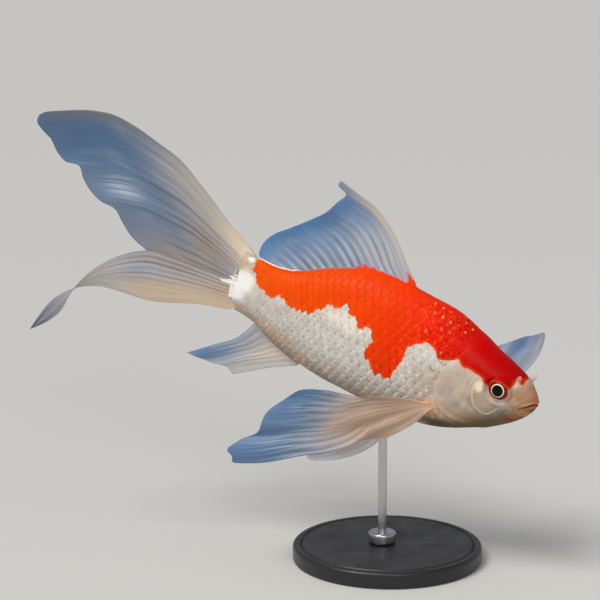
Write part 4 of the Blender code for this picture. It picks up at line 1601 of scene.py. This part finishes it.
@dataclass
class Fin:
    """One fin: a membrane with raised rays, thick and fleshy where it leaves the body."""

    name: str
    shape: FinShape
    look: FinLook
    membrane: float = 0.15
    ray_rise: float = 0.3
    pleat: float = 0.12
    least: float = 0.05
    rounding: float = 0.012  # the share of the fin over which its edges are rounded
    foot_reach: float = 1.3
    bury_reach: float = 0.9

    def own(self, kind: int, number: Array) -> Array:
        """A steady random share for each numbered ray or line.

        Args:
            kind: Which list of shares to read.
            number: The numbers.

        Returns:
            Shares from 0 to 1.
        """
        shares = np.random.default_rng(100 * self.look.seed + kind).random(self.look.rays + 3)
        return shares[np.clip(np.round(number).astype(int), 0, self.look.rays + 2)]

    def bold(self, across: Array) -> Array:
        """How boldly rays and lines show, where they fade towards the last ray."""
        return 1 - self.look.smooth_rear * smoothstep(across, 0.4, 0.3)

    def rays(self, across: Array, out: Array) -> Array:
        """How near each point is to the middle of a ray, from 0 to 1."""
        look = self.look
        turn = look.rays * across + 0.5
        end = look.ray_end + 0.16 * (self.own(1, turn) - 0.5)
        spread = 0.5 * math.pi * smoothstep(out, look.fork, 0.45)
        forks = [bump(wrapped(math.tau * turn + way * spread) / (1.25 - 0.6 * spread)) for way in (-1, 1)]
        return np.maximum(*forks) * (1 - smoothstep((out - end + 0.2) / 0.4))

    def lines(self, across: Array, out: Array) -> Array:
        """How near each point is to the fine dark line between two rays, from 0 to 1."""
        look = self.look
        turn = look.rays * across
        end = look.line_end * (0.55 + 0.6 * self.own(2, turn))
        own = 0.1 + 0.9 * smoothstep(self.own(3, turn), 0.2, 0.5)
        inner = smoothstep(turn / 0.6) * smoothstep((look.rays - turn) / 0.6)
        near = bump(wrapped(math.tau * turn) / (0.55 - 0.2 * out))
        return own * inner * self.bold(across) * near * (1 - smoothstep((out - end + 0.1) / 0.2))

    def thickness(self, across: Array, out: Array, above: Array, rays: Array) -> Array:
        """How thick the fin is at each point, in millimetres."""
        lead = self.look.lead_ray * bump(across / 0.025) * (1 - 0.7 * out)
        foot = self.look.foot * np.exp(-np.maximum(above, 0) / self.foot_reach)
        inside = np.minimum(np.minimum(across, 1 - across), 1 - out)
        edge = np.sqrt(np.clip(inside / self.rounding, 0, 1))
        raised = self.look.relief * self.ray_rise * rays * (1 - 0.75 * out)
        buried = np.exp(np.minimum(above, 0) / self.bury_reach)
        return self.least + (self.membrane * (1.6 - out) + raised + lead + foot) * edge * buried

    def build(self, fish: Fish, material: Material) -> Piece:
        """Makes the fin.

        Args:
            fish: The fish that it grows from.
            material: The fins' material.

        Returns:
            The piece, which replaces the solid fin.
        """
        mesh = mesh_from(slab(*self.look.steps), self.name)
        across, out, layer = corners(mesh).T
        middle = self.shape.at(across, out)
        normal = self.shape.normal(across, out)
        above = fish.body.clearance(middle)
        bold = self.bold(across)
        rays = self.rays(across, out) * bold
        phase = math.tau * (self.look.rays * across + 0.5)
        settled = smoothstep(above / 3) * smoothstep((1 - out) / 0.25) * bold
        pleat = self.look.relief * self.pleat * np.cos(phase) * settled
        thick = self.thickness(across, out, above, rays)
        shaped = middle + normal * (pleat + (layer - 0.5) * thick)[:, None]
        self.colour(mesh, fish, across, out, above, rays)
        move_corners(mesh, fish.stance.placed(shaped))
        return finish_piece(mesh, self.name, material)

    def colour(self, mesh: Mesh, fish: Fish, across: Array, out: Array, above: Array,
               rays: Array) -> None:
        """Stores all that the fin's material reads.

        Args:
            mesh: The fin's mesh.
            fish: The fish.
            across: Each point's place across the rays.
            out: Its place along them.
            above: How far it stands out of the body.
            rays: How near it is to the middle of a ray.
        """
        look = self.look
        ragged = self.own(4, look.rays * across + 0.5)
        membrane = np.tile(paint(look.membrane), (len(across), 1))
        for wash in look.washes:
            membrane = wash.over(membrane, across, out)
        chalk, middle, half = look.chalk
        chalk = chalk * (0.4 + 0.8 * ragged * ragged + 0.3 * rays) * bump((across - middle) / half)
        teeth = np.interp(across, *zip(*look.teeth)) if look.teeth else np.full_like(across, -FAR)
        teeth = teeth * (0.45 + 0.55 * rays * (0.4 + 0.6 * ragged))
        # Where the painted highlight lies.
        at, far, half_across, half_out = look.shine
        shine = bump((across - at) / max(half_across, 0.001)) * bump((out - far) / max(half_out, 0.001))
        clear = look.clear_rim * smoothstep((out - 0.3 - 0.3 * ragged) / 0.45) * (1 - 0.3 * rays)
        clear = clear * (1 - 0.85 * smoothstep(across, 0.58, 0.28))
        pale_edge = np.maximum(0.7 * smoothstep(across, 0.76, 0.14), 0.7 * rays * ragged)
        spikes = pale_edge * bump((above - teeth - 0.25) / 0.3) * (teeth > 0)
        bared = smoothstep(above / 1.5)
        store(
            mesh, membrane=membrane, shine=shine, cover=(1 - clear) * (0.99 - 0.04 * out),
            along=fish.body.along(self.shape.at(across, out)),
            red=smoothstep((teeth - above) / 0.35 + 0.5),
            chalk=np.maximum(smoothstep((chalk - np.maximum(above, 0)) / 3), spikes),
            ray=rays * look.pale_rays * (0.6 + 0.4 * ragged) * bared,
            line=look.dark_lines * self.lines(across, out) * bared,
            grain=1 - 0.85 * smoothstep((out - look.ray_end + 0.25) / 0.35))
        store_uv(mesh, "fin_uv", points_from(across, out))


# The eight fins, each with its edges in the straight frame.
FINS = (
    Fin("fin_dorsal", FinShape(
        front=((3.3, 0, 16), (3.3, 0, 20.6), (-2.7, 0, 27.4), (-7.9, 0.1, 33.2), (-14.2, 0.3, 38.6),
            (-20.5, 0.6, 42.1), (-26.9, 0.6, 43.7), (-34.7, -0.5, 46.3)),
        rear=((-38, 0, 3.5), (-46, 0, 4.8), (-51.5, 0.2, 6.4), (-54.7, 0.7, 9.4)),
        root=((-12, 0, 15.5), (-26, 0, 9.5)),
        rim=((-35.1, -0.5, 44.6), (-31.6, 0, 42), (-33.6, 0.6, 38.3), (-36.1, 1.2, 33.7), (-41.4, 1.8, 28),
            (-47.5, 2.2, 22.3), (-52.3, 2, 17.9), (-54.4, 1.6, 14.6), (-54.9, 1.1, 12)),
        waves=(1, 2.5, 0.1),
    ), FinLook(
        rays=17, steps=(204, 70), fork=0.7, ray_end=0.6, pale_rays=0.62, dark_lines=0.55, line_end=0.6,
        membrane=(122, 145, 176), foot=1,
        washes=(
            Wash((208, 188, 166), (0, 0.1), (0.5, 0.6)),
            Wash((175, 180, 183), (0.2, 0.2), (0.35, 0.3)),
            Wash((125, 139, 151), (0.75, 0.3), (0.3, 0.15)),
            Wash((74, 126, 179), (0.6, 0.6), (1, 0.2)),
        ),
        teeth=((0, 4.6), (0.04, 4.4), (0.065, 2), (0.08, -2), (0.11, -2), (0.14, 0.8), (0.23, 1),
            (0.3, 1.7), (0.34, 2.6), (0.385, 3.6), (0.43, 2.4), (0.475, 0.9), (0.6, 0.9), (1, 0.4)),
    )),
    Fin("fin_tail_upper", FinShape(
        front=((-52, 0, 6), (-58.3, 0, 10.9), (-68, 0.2, 16.7), (-82.5, 0.5, 26.4), (-91.9, 0.8, 32.1),
            (-100.2, 1, 34.8), (-110.6, 0.9, 38), (-118.4, 0.6, 39.4), (-125, 0.2, 38.6), (-135.5, -1, 35),
            (-139.8, -1.8, 33.2)),
        rear=((-52, 0, -3.8), (-60.8, 0.2, -4), (-73.4, 0.6, -4.1), (-85.2, 1.3, -4.2), (-93.6, 1.8, -4.9)),
        rim=((-141.8, -2, 31), (-141.8, -2.1, 28.6), (-139.6, -2.2, 26.4), (-135.7, -2.5, 24.1),
            (-132.1, -2.8, 20.6), (-128.2, -2.8, 18.4), (-123.2, -2, 18.4), (-121, -1, 14.1),
            (-114, 1, 6.9), (-109.6, 1.8, 5.7), (-105.8, 2.3, 1.9), (-101.4, 2.3, -1.6)),
        waves=(1.5, 1.6, 0.05),
    ), FinLook(
        rays=14, steps=(224, 110), relief=0.25, fork=0.35, ray_end=0.7, pale_rays=0.12, dark_lines=0.6,
        line_end=0.85, membrane=(115, 133, 159), seed=2, foot=1.1, chalk=(4.6, 1, 0.24),
        shine=(0.53, 0.83, 0.06, 0.08),
        washes=(
            Wash((246, 222, 190), (0.2, 0.55), (0.05, 0.27)),
            Wash((161, 145, 128), (0.72, 0.33), (0.36, 0.17)),
            Wash((193, 181, 166), (0.12, 0.3), (0.42, 0.2)),
            Wash((75, 107, 142), (0.22, 0.3), (0.85, 0.35)),
            Wash((136, 164, 200), (0.56, 0.13), (0.9, 0.22)),
            Wash((151, 139, 131), (1, 0.2), (0.6, 0.4)),
            Wash((122, 124, 125), (0, 0.05), (0.85, 0.3)),
        ),
    )),
    Fin("fin_tail_lower", FinShape(
        front=((-52, 0, -3.4), (-60.4, 0, -3.6), (-73.2, 0.3, -3.6), (-85, 1, -3.7), (-93.7, 1.5, -4.7),
            (-99.7, 0.2, -7.8), (-105.8, -1.8, -13.3), (-109.4, -3.6, -18.7), (-112.4, -4.2, -25.8),
            (-116.7, -0.4, -38.6), (-119.9, 1.2, -43.2), (-125, 2.6, -48.4)),
        rear=((-52, 0, -10.5), (-57.9, 0, -13.6), (-67.4, 0.2, -15.8), (-89.1, 1.4, -22.6),
            (-98.9, 2.4, -23.4), (-106.6, 3.3, -24.5), (-112.7, 4.2, -27), (-117.1, 4.9, -30.1),
            (-121.4, 5, -35), (-125, 3.9, -44.5), (-126, 3.2, -49.2)),
        waves=(0.8, 1.5, 0.2),
    ), FinLook(
        rays=9, steps=(117, 170), relief=0.35, fork=1, ray_end=0.9, pale_rays=0.45, dark_lines=0.6,
        line_end=1.1, membrane=(176, 165, 169), seed=3, foot=1.1, lead_ray=0, chalk=(5.2, 0.2, 0.36),
        smooth_rear=0.85,
        washes=(
            Wash((208, 185, 154), (0.85, 0.5), (0.2, 0.5)),
            Wash((150, 138, 126), (0, 0.4), (0.3, 0.17)),
            Wash((151, 163, 174), (0.35, 0.15), (0.47, 0.1)),
            Wash((216, 212, 205), (0.5, 9), (0.61, 0.1)),
            Wash((127, 132, 143), (0.5, 9), (0.95, 0.2)),
            Wash((188, 160, 125), (0.35, 0.25), (0.1, 0.08)),
        ),
    )),
    Fin("fin_anal", FinShape(
        front=((-28.5, 0, -18.5), (-28.2, 0, -23.6), (-31.5, -0.2, -25.4), (-37.4, -0.5, -28.5),
            (-43.8, -1, -32.5), (-49.3, -1.4, -36)),
        rear=((-46.5, 0, -12), (-48.5, 0, -15.8), (-53.4, 0.7, -23.6), (-59.8, 1.1, -28.8),
            (-68.8, 1.6, -36.1)),
        root=((-37.5, 0, -15.4),),
        rim=((-52.2, -0.8, -34.8), (-60.1, 0.6, -35.9)),
        waves=(0.6, 2, 0),
    ), FinLook(
        rays=8, steps=(104, 60), relief=0.3, ray_end=0.7, pale_rays=0.3, dark_lines=0.25,
        membrane=(166, 171, 179), seed=4,
        washes=(
            Wash((219, 199, 175), (0.35, 0.35), (0.3, 0.35)),
            Wash((188, 186, 178), (0.15, 0.2), (0.8, 0.35)),
            Wash((100, 131, 167), (0.85, 0.35), (0.85, 0.4)),
        ),
    )),
    Fin("fin_pectoral_right", FinShape(
        front=((25.5, -8.2, -11.4), (23.7, -11.6, -11.9), (18, -16, -12.2), (12.7, -20, -12.9),
            (7.5, -24, -13.8), (2.3, -28, -15.7), (-2.3, -31.5, -18.3), (-8.2, -34.3, -24.9)),
        rear=((27.5, -7.8, -14), (26, -11.2, -14), (22.6, -16, -20), (19.9, -18, -23.4),
            (16.5, -20, -27.1)),
        rim=((-8.3, -34.2, -26.9), (-6.3, -33, -29.8), (-2.1, -31, -32), (4.4, -27, -31.3),
            (10.4, -23.5, -29.6)),
        waves=(1.6, 2.5, 0),
    ), FinLook(
        rays=14, steps=(168, 80), relief=0.3, ray_end=0.85, pale_rays=0.12, dark_lines=0.5, line_end=0.7,
        membrane=(195, 165, 140), seed=5, clear_rim=0.96,
        washes=(
            Wash((252, 192, 146), (0.5, 9), (0.05, 0.14)),
            Wash((187, 151, 120), (0.5, 9), (0.4, 0.2)),
            Wash((150, 163, 176), (0, 0.17), (1, 0.25)),
        ),
    )),
    Fin("fin_pectoral_left", FinShape(
        front=((27.5, 7.8, -14.5), (28.5, 10.6, -14.8), (37, 19.5, -8.2), (45.5, 27, 1.1), (46.4, 34, 6),
            (45.5, 40, 7.6), (43.8, 46.4, 9.6)),
        rear=((25, 8, -11.5), (25, 11.8, -11), (27.5, 17, -4.5), (32.6, 22, 5.7)),
        rim=((43.2, 46.5, 10.4), (42, 43.5, 10.5), (40.7, 38, 10.3), (38.4, 30, 10.1)),
        waves=(1, 2, 0.3),
    ), FinLook(
        rays=12, steps=(144, 80), relief=0.25, ray_end=0.6, pale_rays=0.15, dark_lines=0.12,
        membrane=(149, 161, 174), seed=6, clear_rim=0.15,
        washes=(
            Wash((125, 158, 202), (0.5, 0.25), (0.9, 0.25)),
            Wash((172, 174, 185), (0, 0.2), (0.9, 0.4)),
            Wash((206, 172, 142), (0.5, 9), (0, 0.2)),
        ),
    )),
    Fin("fin_pelvic_right", FinShape(
        front=((8, -3.4, -19.5), (7, -5.2, -25), (7.9, -12, -30.3), (5.8, -18, -34.7), (-0.3, -23, -39.7),
            (-8.1, -26.5, -43.8), (-20.3, -29.8, -51.4), (-27.5, -30.6, -54.5)),
        rear=((2.5, -3.4, -19.5), (-1, -4.4, -23.6), (-5.3, -5.4, -24.2), (-8.5, -7.2, -24.3),
            (-11.6, -9.4, -24.2), (-14.5, -11.6, -24.5), (-17, -13.2, -25), (-19.2, -14.8, -25.7)),
        rim=((-30, -31, -55), (-31, -31, -52.9), (-33.2, -31, -51.8), (-31.1, -29.8, -47.6),
            (-26.3, -26.5, -42.6), (-26.4, -22.5, -35.5), (-23.6, -19, -30.8), (-21.6, -17, -27.9),
            (-20.6, -16, -26.6)),
        waves=(1.6, 2, 0.6),
    ), FinLook(
        rays=11, steps=(154, 90), relief=0.4, fork=0.4, pale_rays=0.35, membrane=(59, 102, 131), seed=7,
        washes=(
            Wash((226, 191, 160), (0.5, 9), (0.1, 0.38)),
            Wash((89, 119, 159), (0.6, 9), (1, 0.3)),
        ),
    )),
    # The left pelvic fin's membrane and its palest washes are its own pale colour, lightened further to
    # make up for the shade that the right fins cast on it: partly painted light.
    Fin("fin_pelvic_left", FinShape(
        front=((8, 3.4, -19.5), (7.6, 4.8, -25.8), (8, 9, -35.3), (6.2, 12, -41.8), (0.5, 17, -51),
            (-9.2, 21, -60), (-18.3, 24.4, -65.5)),
        rear=((2.5, 3.4, -19.5), (0.5, 4.6, -26.4), (-2.5, 7, -35), (-6.3, 12, -46)),
        rim=((-20.6, 25, -65.6), (-19.3, 23, -62.3), (-13.9, 18.5, -55.6)),
        waves=(1.2, 2, 0.2),
    ), FinLook(
        rays=11, steps=(132, 80), relief=0.4, fork=0.4, pale_rays=0.35, membrane=(206, 200, 196), seed=8,
        washes=(
            Wash((204, 168, 134), (0.5, 9), (0, 0.3)),
            Wash((239, 193, 160), (1, 0.4), (0.6, 0.5)),
            Wash((255, 236, 222), (0.08, 0.25), (0.52, 0.2)),
            Wash((240, 238, 246), (0.1, 0.3), (0.86, 0.24)),
        ),
    )),
)


# ---- eyes and nostril flaps


@dataclass
class Eyes:
    """Eyeballs with a bulging lens, a raised pale ring round it and a sunken iris."""

    fish: Fish
    pupil: float = 2
    ring: float = 2.44
    sides: int = 64
    rings: int = 56

    def surface(self, radius: Array) -> Array:
        """How far the eye's front stands over the plain ball at each distance from the pupil's middle."""
        lens = 0.3 * np.sqrt(np.clip(1 - (radius / (self.pupil + 0.1)) ** 2, 0, 1))
        ring = 0.12 * bump((radius - (self.pupil + self.ring) / 2) / 0.2)
        iris = -0.12 * bump((radius - 3.2) / 0.5)
        return lens + ring + iris

    def build(self) -> list[Piece]:
        """Makes both eyes, centred in their solids."""
        material = EyeFinish().material()
        return [self.one(side, material) for side in Side]

    def one(self, side: Side, material: Material) -> Piece:
        """Makes one eye from a ball whose pole is its pupil."""
        name = f"eye_{side.name.lower()}"
        low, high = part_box(name)
        centre = self.fish.stance.straightened((low + high) / 2)
        mesh = ball(name, self.sides, self.rings)
        across, up, pole = corners(mesh).T
        sharpened = np.arccos(np.clip(pole, -1, 1)) / math.pi
        polar = (0.75 * sharpened + 0.25 * sharpened * sharpened) * math.pi
        around = np.arctan2(up, across)
        radius = EYE_RADII[0] * np.sin(polar)
        front = polar < math.pi / 2
        out = EYE_RADII[1] * np.cos(polar) + self.surface(radius) * front
        x = centre[0] + radius * np.cos(around)
        z = centre[2] + radius * np.sin(around)
        y = centre[1] + side.value * out
        store(mesh, from_pupil=np.where(front, radius, EYE_RADII[0]))
        move_corners(mesh, self.fish.stance.placed(points_from(x, y, z)))
        return finish_piece(mesh, name, material)


@dataclass
class NostrilFlaps:
    """The soft upright lobe that stands in the middle of each nostril."""

    fish: Fish
    radii: Spot = (0.85, 0.45, 1.6)
    far_share: Spot = (1.35, 1.2, 1.3)  # how much larger the left flap is
    lean_deg: float = 9
    sides: int = 40
    rings: int = 32

    def build(self) -> list[Piece]:
        """Makes both flaps."""
        material = SkinFinish().material(self.fish.colouring)
        return [self.one(side, material) for side in Side]

    def one(self, side: Side, material: Material) -> Piece:
        """Makes one flap: a ball flattened, waisted at its foot and leaned outwards and forwards."""
        name = f"nostril_flap_{side.name.lower()}"
        x, y, z = NOSTRILS[side]
        mesh = ball(name, self.sides, self.rings)
        plain = corners(mesh)
        waist = 0.7 + 0.3 * smoothstep(plain[:, 2], -0.9, 1.1)
        form = plain * self.radii * (self.far_share if side is Side.LEFT else 1)
        form[:, 0] *= waist
        form[:, 1] += 0.25 * side.value * smoothstep(plain[:, 2]) - 0.08 * np.cos(4 * plain[:, 0])
        lean = form[:, 2] * math.sin(math.radians(self.lean_deg))
        forward = form[:, 0] + lean
        outward = form[:, 1] + side.value * lean
        points = points_from(x + forward, side.value * y + outward, z + form[:, 2])
        self.fish.store_flesh(mesh, points, np.full(len(points), -3.0))
        middle = np.array([(self.fish.body.snout_x - x) / self.fish.body.length, 0.5 + 0.12 * side.value])
        store_uv(mesh, "OFBake", middle + 0.01 * plain[:, [0, 2]])
        move_corners(mesh, self.fish.stance.placed(points))
        return finish_piece(mesh, name, material)


# ---- stand and studio


@dataclass
class Stand:
    """A turned base, a collar and a rod up to the belly, all measured from their solids."""

    sides: int = 128
    base_edge: float = 0.0012
    collar_edge: float = 0.0011
    sharp_deg: float = 40
    groove: float = 0.0006
    groove_share: float = 0.93
    sunk: float = 0.0003  # how far the collar and the rod reach into the base
    pressed_in: float = 0.0006  # how far the rod reaches past its solid into the belly
    overlap: float = 0.0001  # how much narrower the collar's bore is than the rod

    def turned(self, profile: list[Place], centre: Vector, name: str, material: Material,
               slot: str) -> Piece:
        """Spins a closed profile round an upright axis.

        Args:
            profile: (radius, height) corners in metres, from the foot up the outside and back.
            centre: A point on the axis.
            name: The piece's name, which is its solid's.
            material: Its material.
            slot: The record's material slot, which is not used.

        Returns:
            The piece.
        """
        bm = bmesh.new()
        verts = [bm.verts.new((centre.x + radius, centre.y, height)) for radius, height in profile]
        edges = [bm.edges.new(pair) for pair in zip(verts, verts[1:] + verts[:1])]
        bmesh.ops.spin(bm, geom=verts + edges, cent=(centre.x, centre.y, 0), axis=(0, 0, 1),
                       angle=math.tau, steps=self.sides, use_merge=True)
        bmesh.ops.remove_doubles(bm, verts=bm.verts, dist=1e-6)
        bmesh.ops.recalc_face_normals(bm, faces=bm.faces)
        piece = finish_piece(mesh_from(bm, name), name, material)
        piece.data.set_sharp_from_angle(angle=math.radians(self.sharp_deg))
        return piece

    def rounded(self, radius: float, low: float, high: float, edge: float, bore: float) -> list[Place]:
        """A ring's profile with rounded outer edges.

        Args:
            radius: Outer radius.
            low: Height of its foot.
            high: Height of its top.
            edge: Radius of the rounding.
            bore: Inner radius.

        Returns:
            The profile's corners.
        """
        turns = [math.radians(15 * step) for step in range(7)]
        foot = [(radius - edge + edge * math.sin(t), low + edge - edge * math.cos(t)) for t in turns]
        top = [(radius - edge + edge * math.cos(t), high - edge + edge * math.sin(t)) for t in turns]
        return [(bore, low)] + foot + top + [(bore, high)]

    def build(self) -> list[Piece]:
        """Makes base, collar and rod."""
        finish = StandFinish()
        black, steel = finish.painted(), finish.brushed()
        low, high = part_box("stand_base")
        foot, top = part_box("stand_collar")
        rod_low, rod_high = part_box("stand_rod")
        radius = (high.x - low.x) / 2
        rod_radius = (rod_high.x - rod_low.x) / 2
        axis = (rod_low + rod_high) / 2
        start = foot.z - self.sunk
        end = rod_high.z + self.pressed_in
        *base, top_centre = self.rounded(radius, low.z, high.z, self.base_edge, 0)
        ring = radius * self.groove_share
        base += [(ring, high.z), (ring - self.groove, high.z - self.groove),
                 (ring - 2 * self.groove, high.z), top_centre]
        collar = self.rounded((top.x - foot.x) / 2, start, top.z, self.collar_edge,
                              rod_radius - self.overlap)
        rod = [(0, start), (rod_radius, start), (rod_radius, end), (0, end)]
        return [
            self.turned(base, (low + high) / 2, "stand_base", black, "stand_base"),
            self.turned(collar, axis, "stand_collar", steel, "stand_metal"),
            self.turned(rod, axis, "stand_rod", steel, "stand_metal"),
        ]


@dataclass
class Studio:
    """A plain pale floor, soft lights and the camera."""

    eye: Spot = (0.26088, -0.72957, 0.25991)
    target: Spot = (-0.03015, -0.00925, 0.09478)
    lens: float = 135
    lit: Spot = (0, 0, 0.09)
    sky: Colour = (0.93, 0.95, 1)
    sky_strength: float = 0.34

    def floor(self) -> None:
        """Lays the floor."""
        bm = bmesh.new()
        bmesh.ops.create_circle(bm, cap_ends=True, segments=64, radius=6)
        mesh = mesh_from(bm, "floor")
        material, tree = new_material("floor_paper", base_color=(208, 207, 203), roughness=0.9)
        grain = tree.noise(tree.place(), 400)
        tree.feed(normal=tree.bump(grain, 0.0002, 0.1))
        mesh.materials.append(material)
        add_object("floor", mesh)

    def lamp(self, name: str, kind: str, place: Spot, **settings: object) -> None:
        """Hangs a light that faces the fish."""
        data = bpy.data.lights.new(name, kind)
        for label, value in settings.items():
            setattr(data, label, value)
        aim(name, data, place, self.lit)

    def camera(self) -> None:
        """Sets the camera up."""
        data = bpy.data.cameras.new("camera")
        data.lens = self.lens
        data.sensor_width = 36
        data.clip_start = 0.05
        bpy.context.scene.camera = aim("camera", data, self.eye, self.target)

    def build(self) -> None:
        """Makes the studio."""
        self.floor()
        self.lamp("sky_panel", "SUN", (-0.5, -0.9, 1.7), angle=math.radians(28), energy=2.1,
                  color=(1, 0.98, 0.95))
        self.lamp("fill", "AREA", (0.55, -0.95, 0.7), size=0.45, energy=3.2, color=(1, 0.99, 0.97))
        world = bpy.data.worlds.new("studio")
        world.use_nodes = True
        background = world.node_tree.nodes["Background"]
        background.inputs["Color"].default_value = (*self.sky, 1)
        background.inputs["Strength"].default_value = self.sky_strength
        bpy.context.scene.world = world
        bpy.context.scene.view_settings.view_transform = "Standard"
        self.camera()


def main() -> None:
    """Builds the goldfish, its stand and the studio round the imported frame."""
    logging.basicConfig(level=logging.INFO, format="%(message)s")
    for leftover in list(bpy.data.objects):
        bpy.data.objects.remove(leftover)
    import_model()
    body = Body()
    fish = Fish(Stance(), body, Relief(body), Markings(body), FleshColouring())
    Studio().build()
    Skin(fish).build()
    ScaleCoat(fish).build()
    membrane = FinFinish().material()
    for fin in FINS:
        fin.build(fish, membrane)
    Eyes(fish).build()
    NostrilFlaps(fish).build()
    Stand().build()
    bpy.context.view_layer.update()


if __name__ == "__main__":
    main()
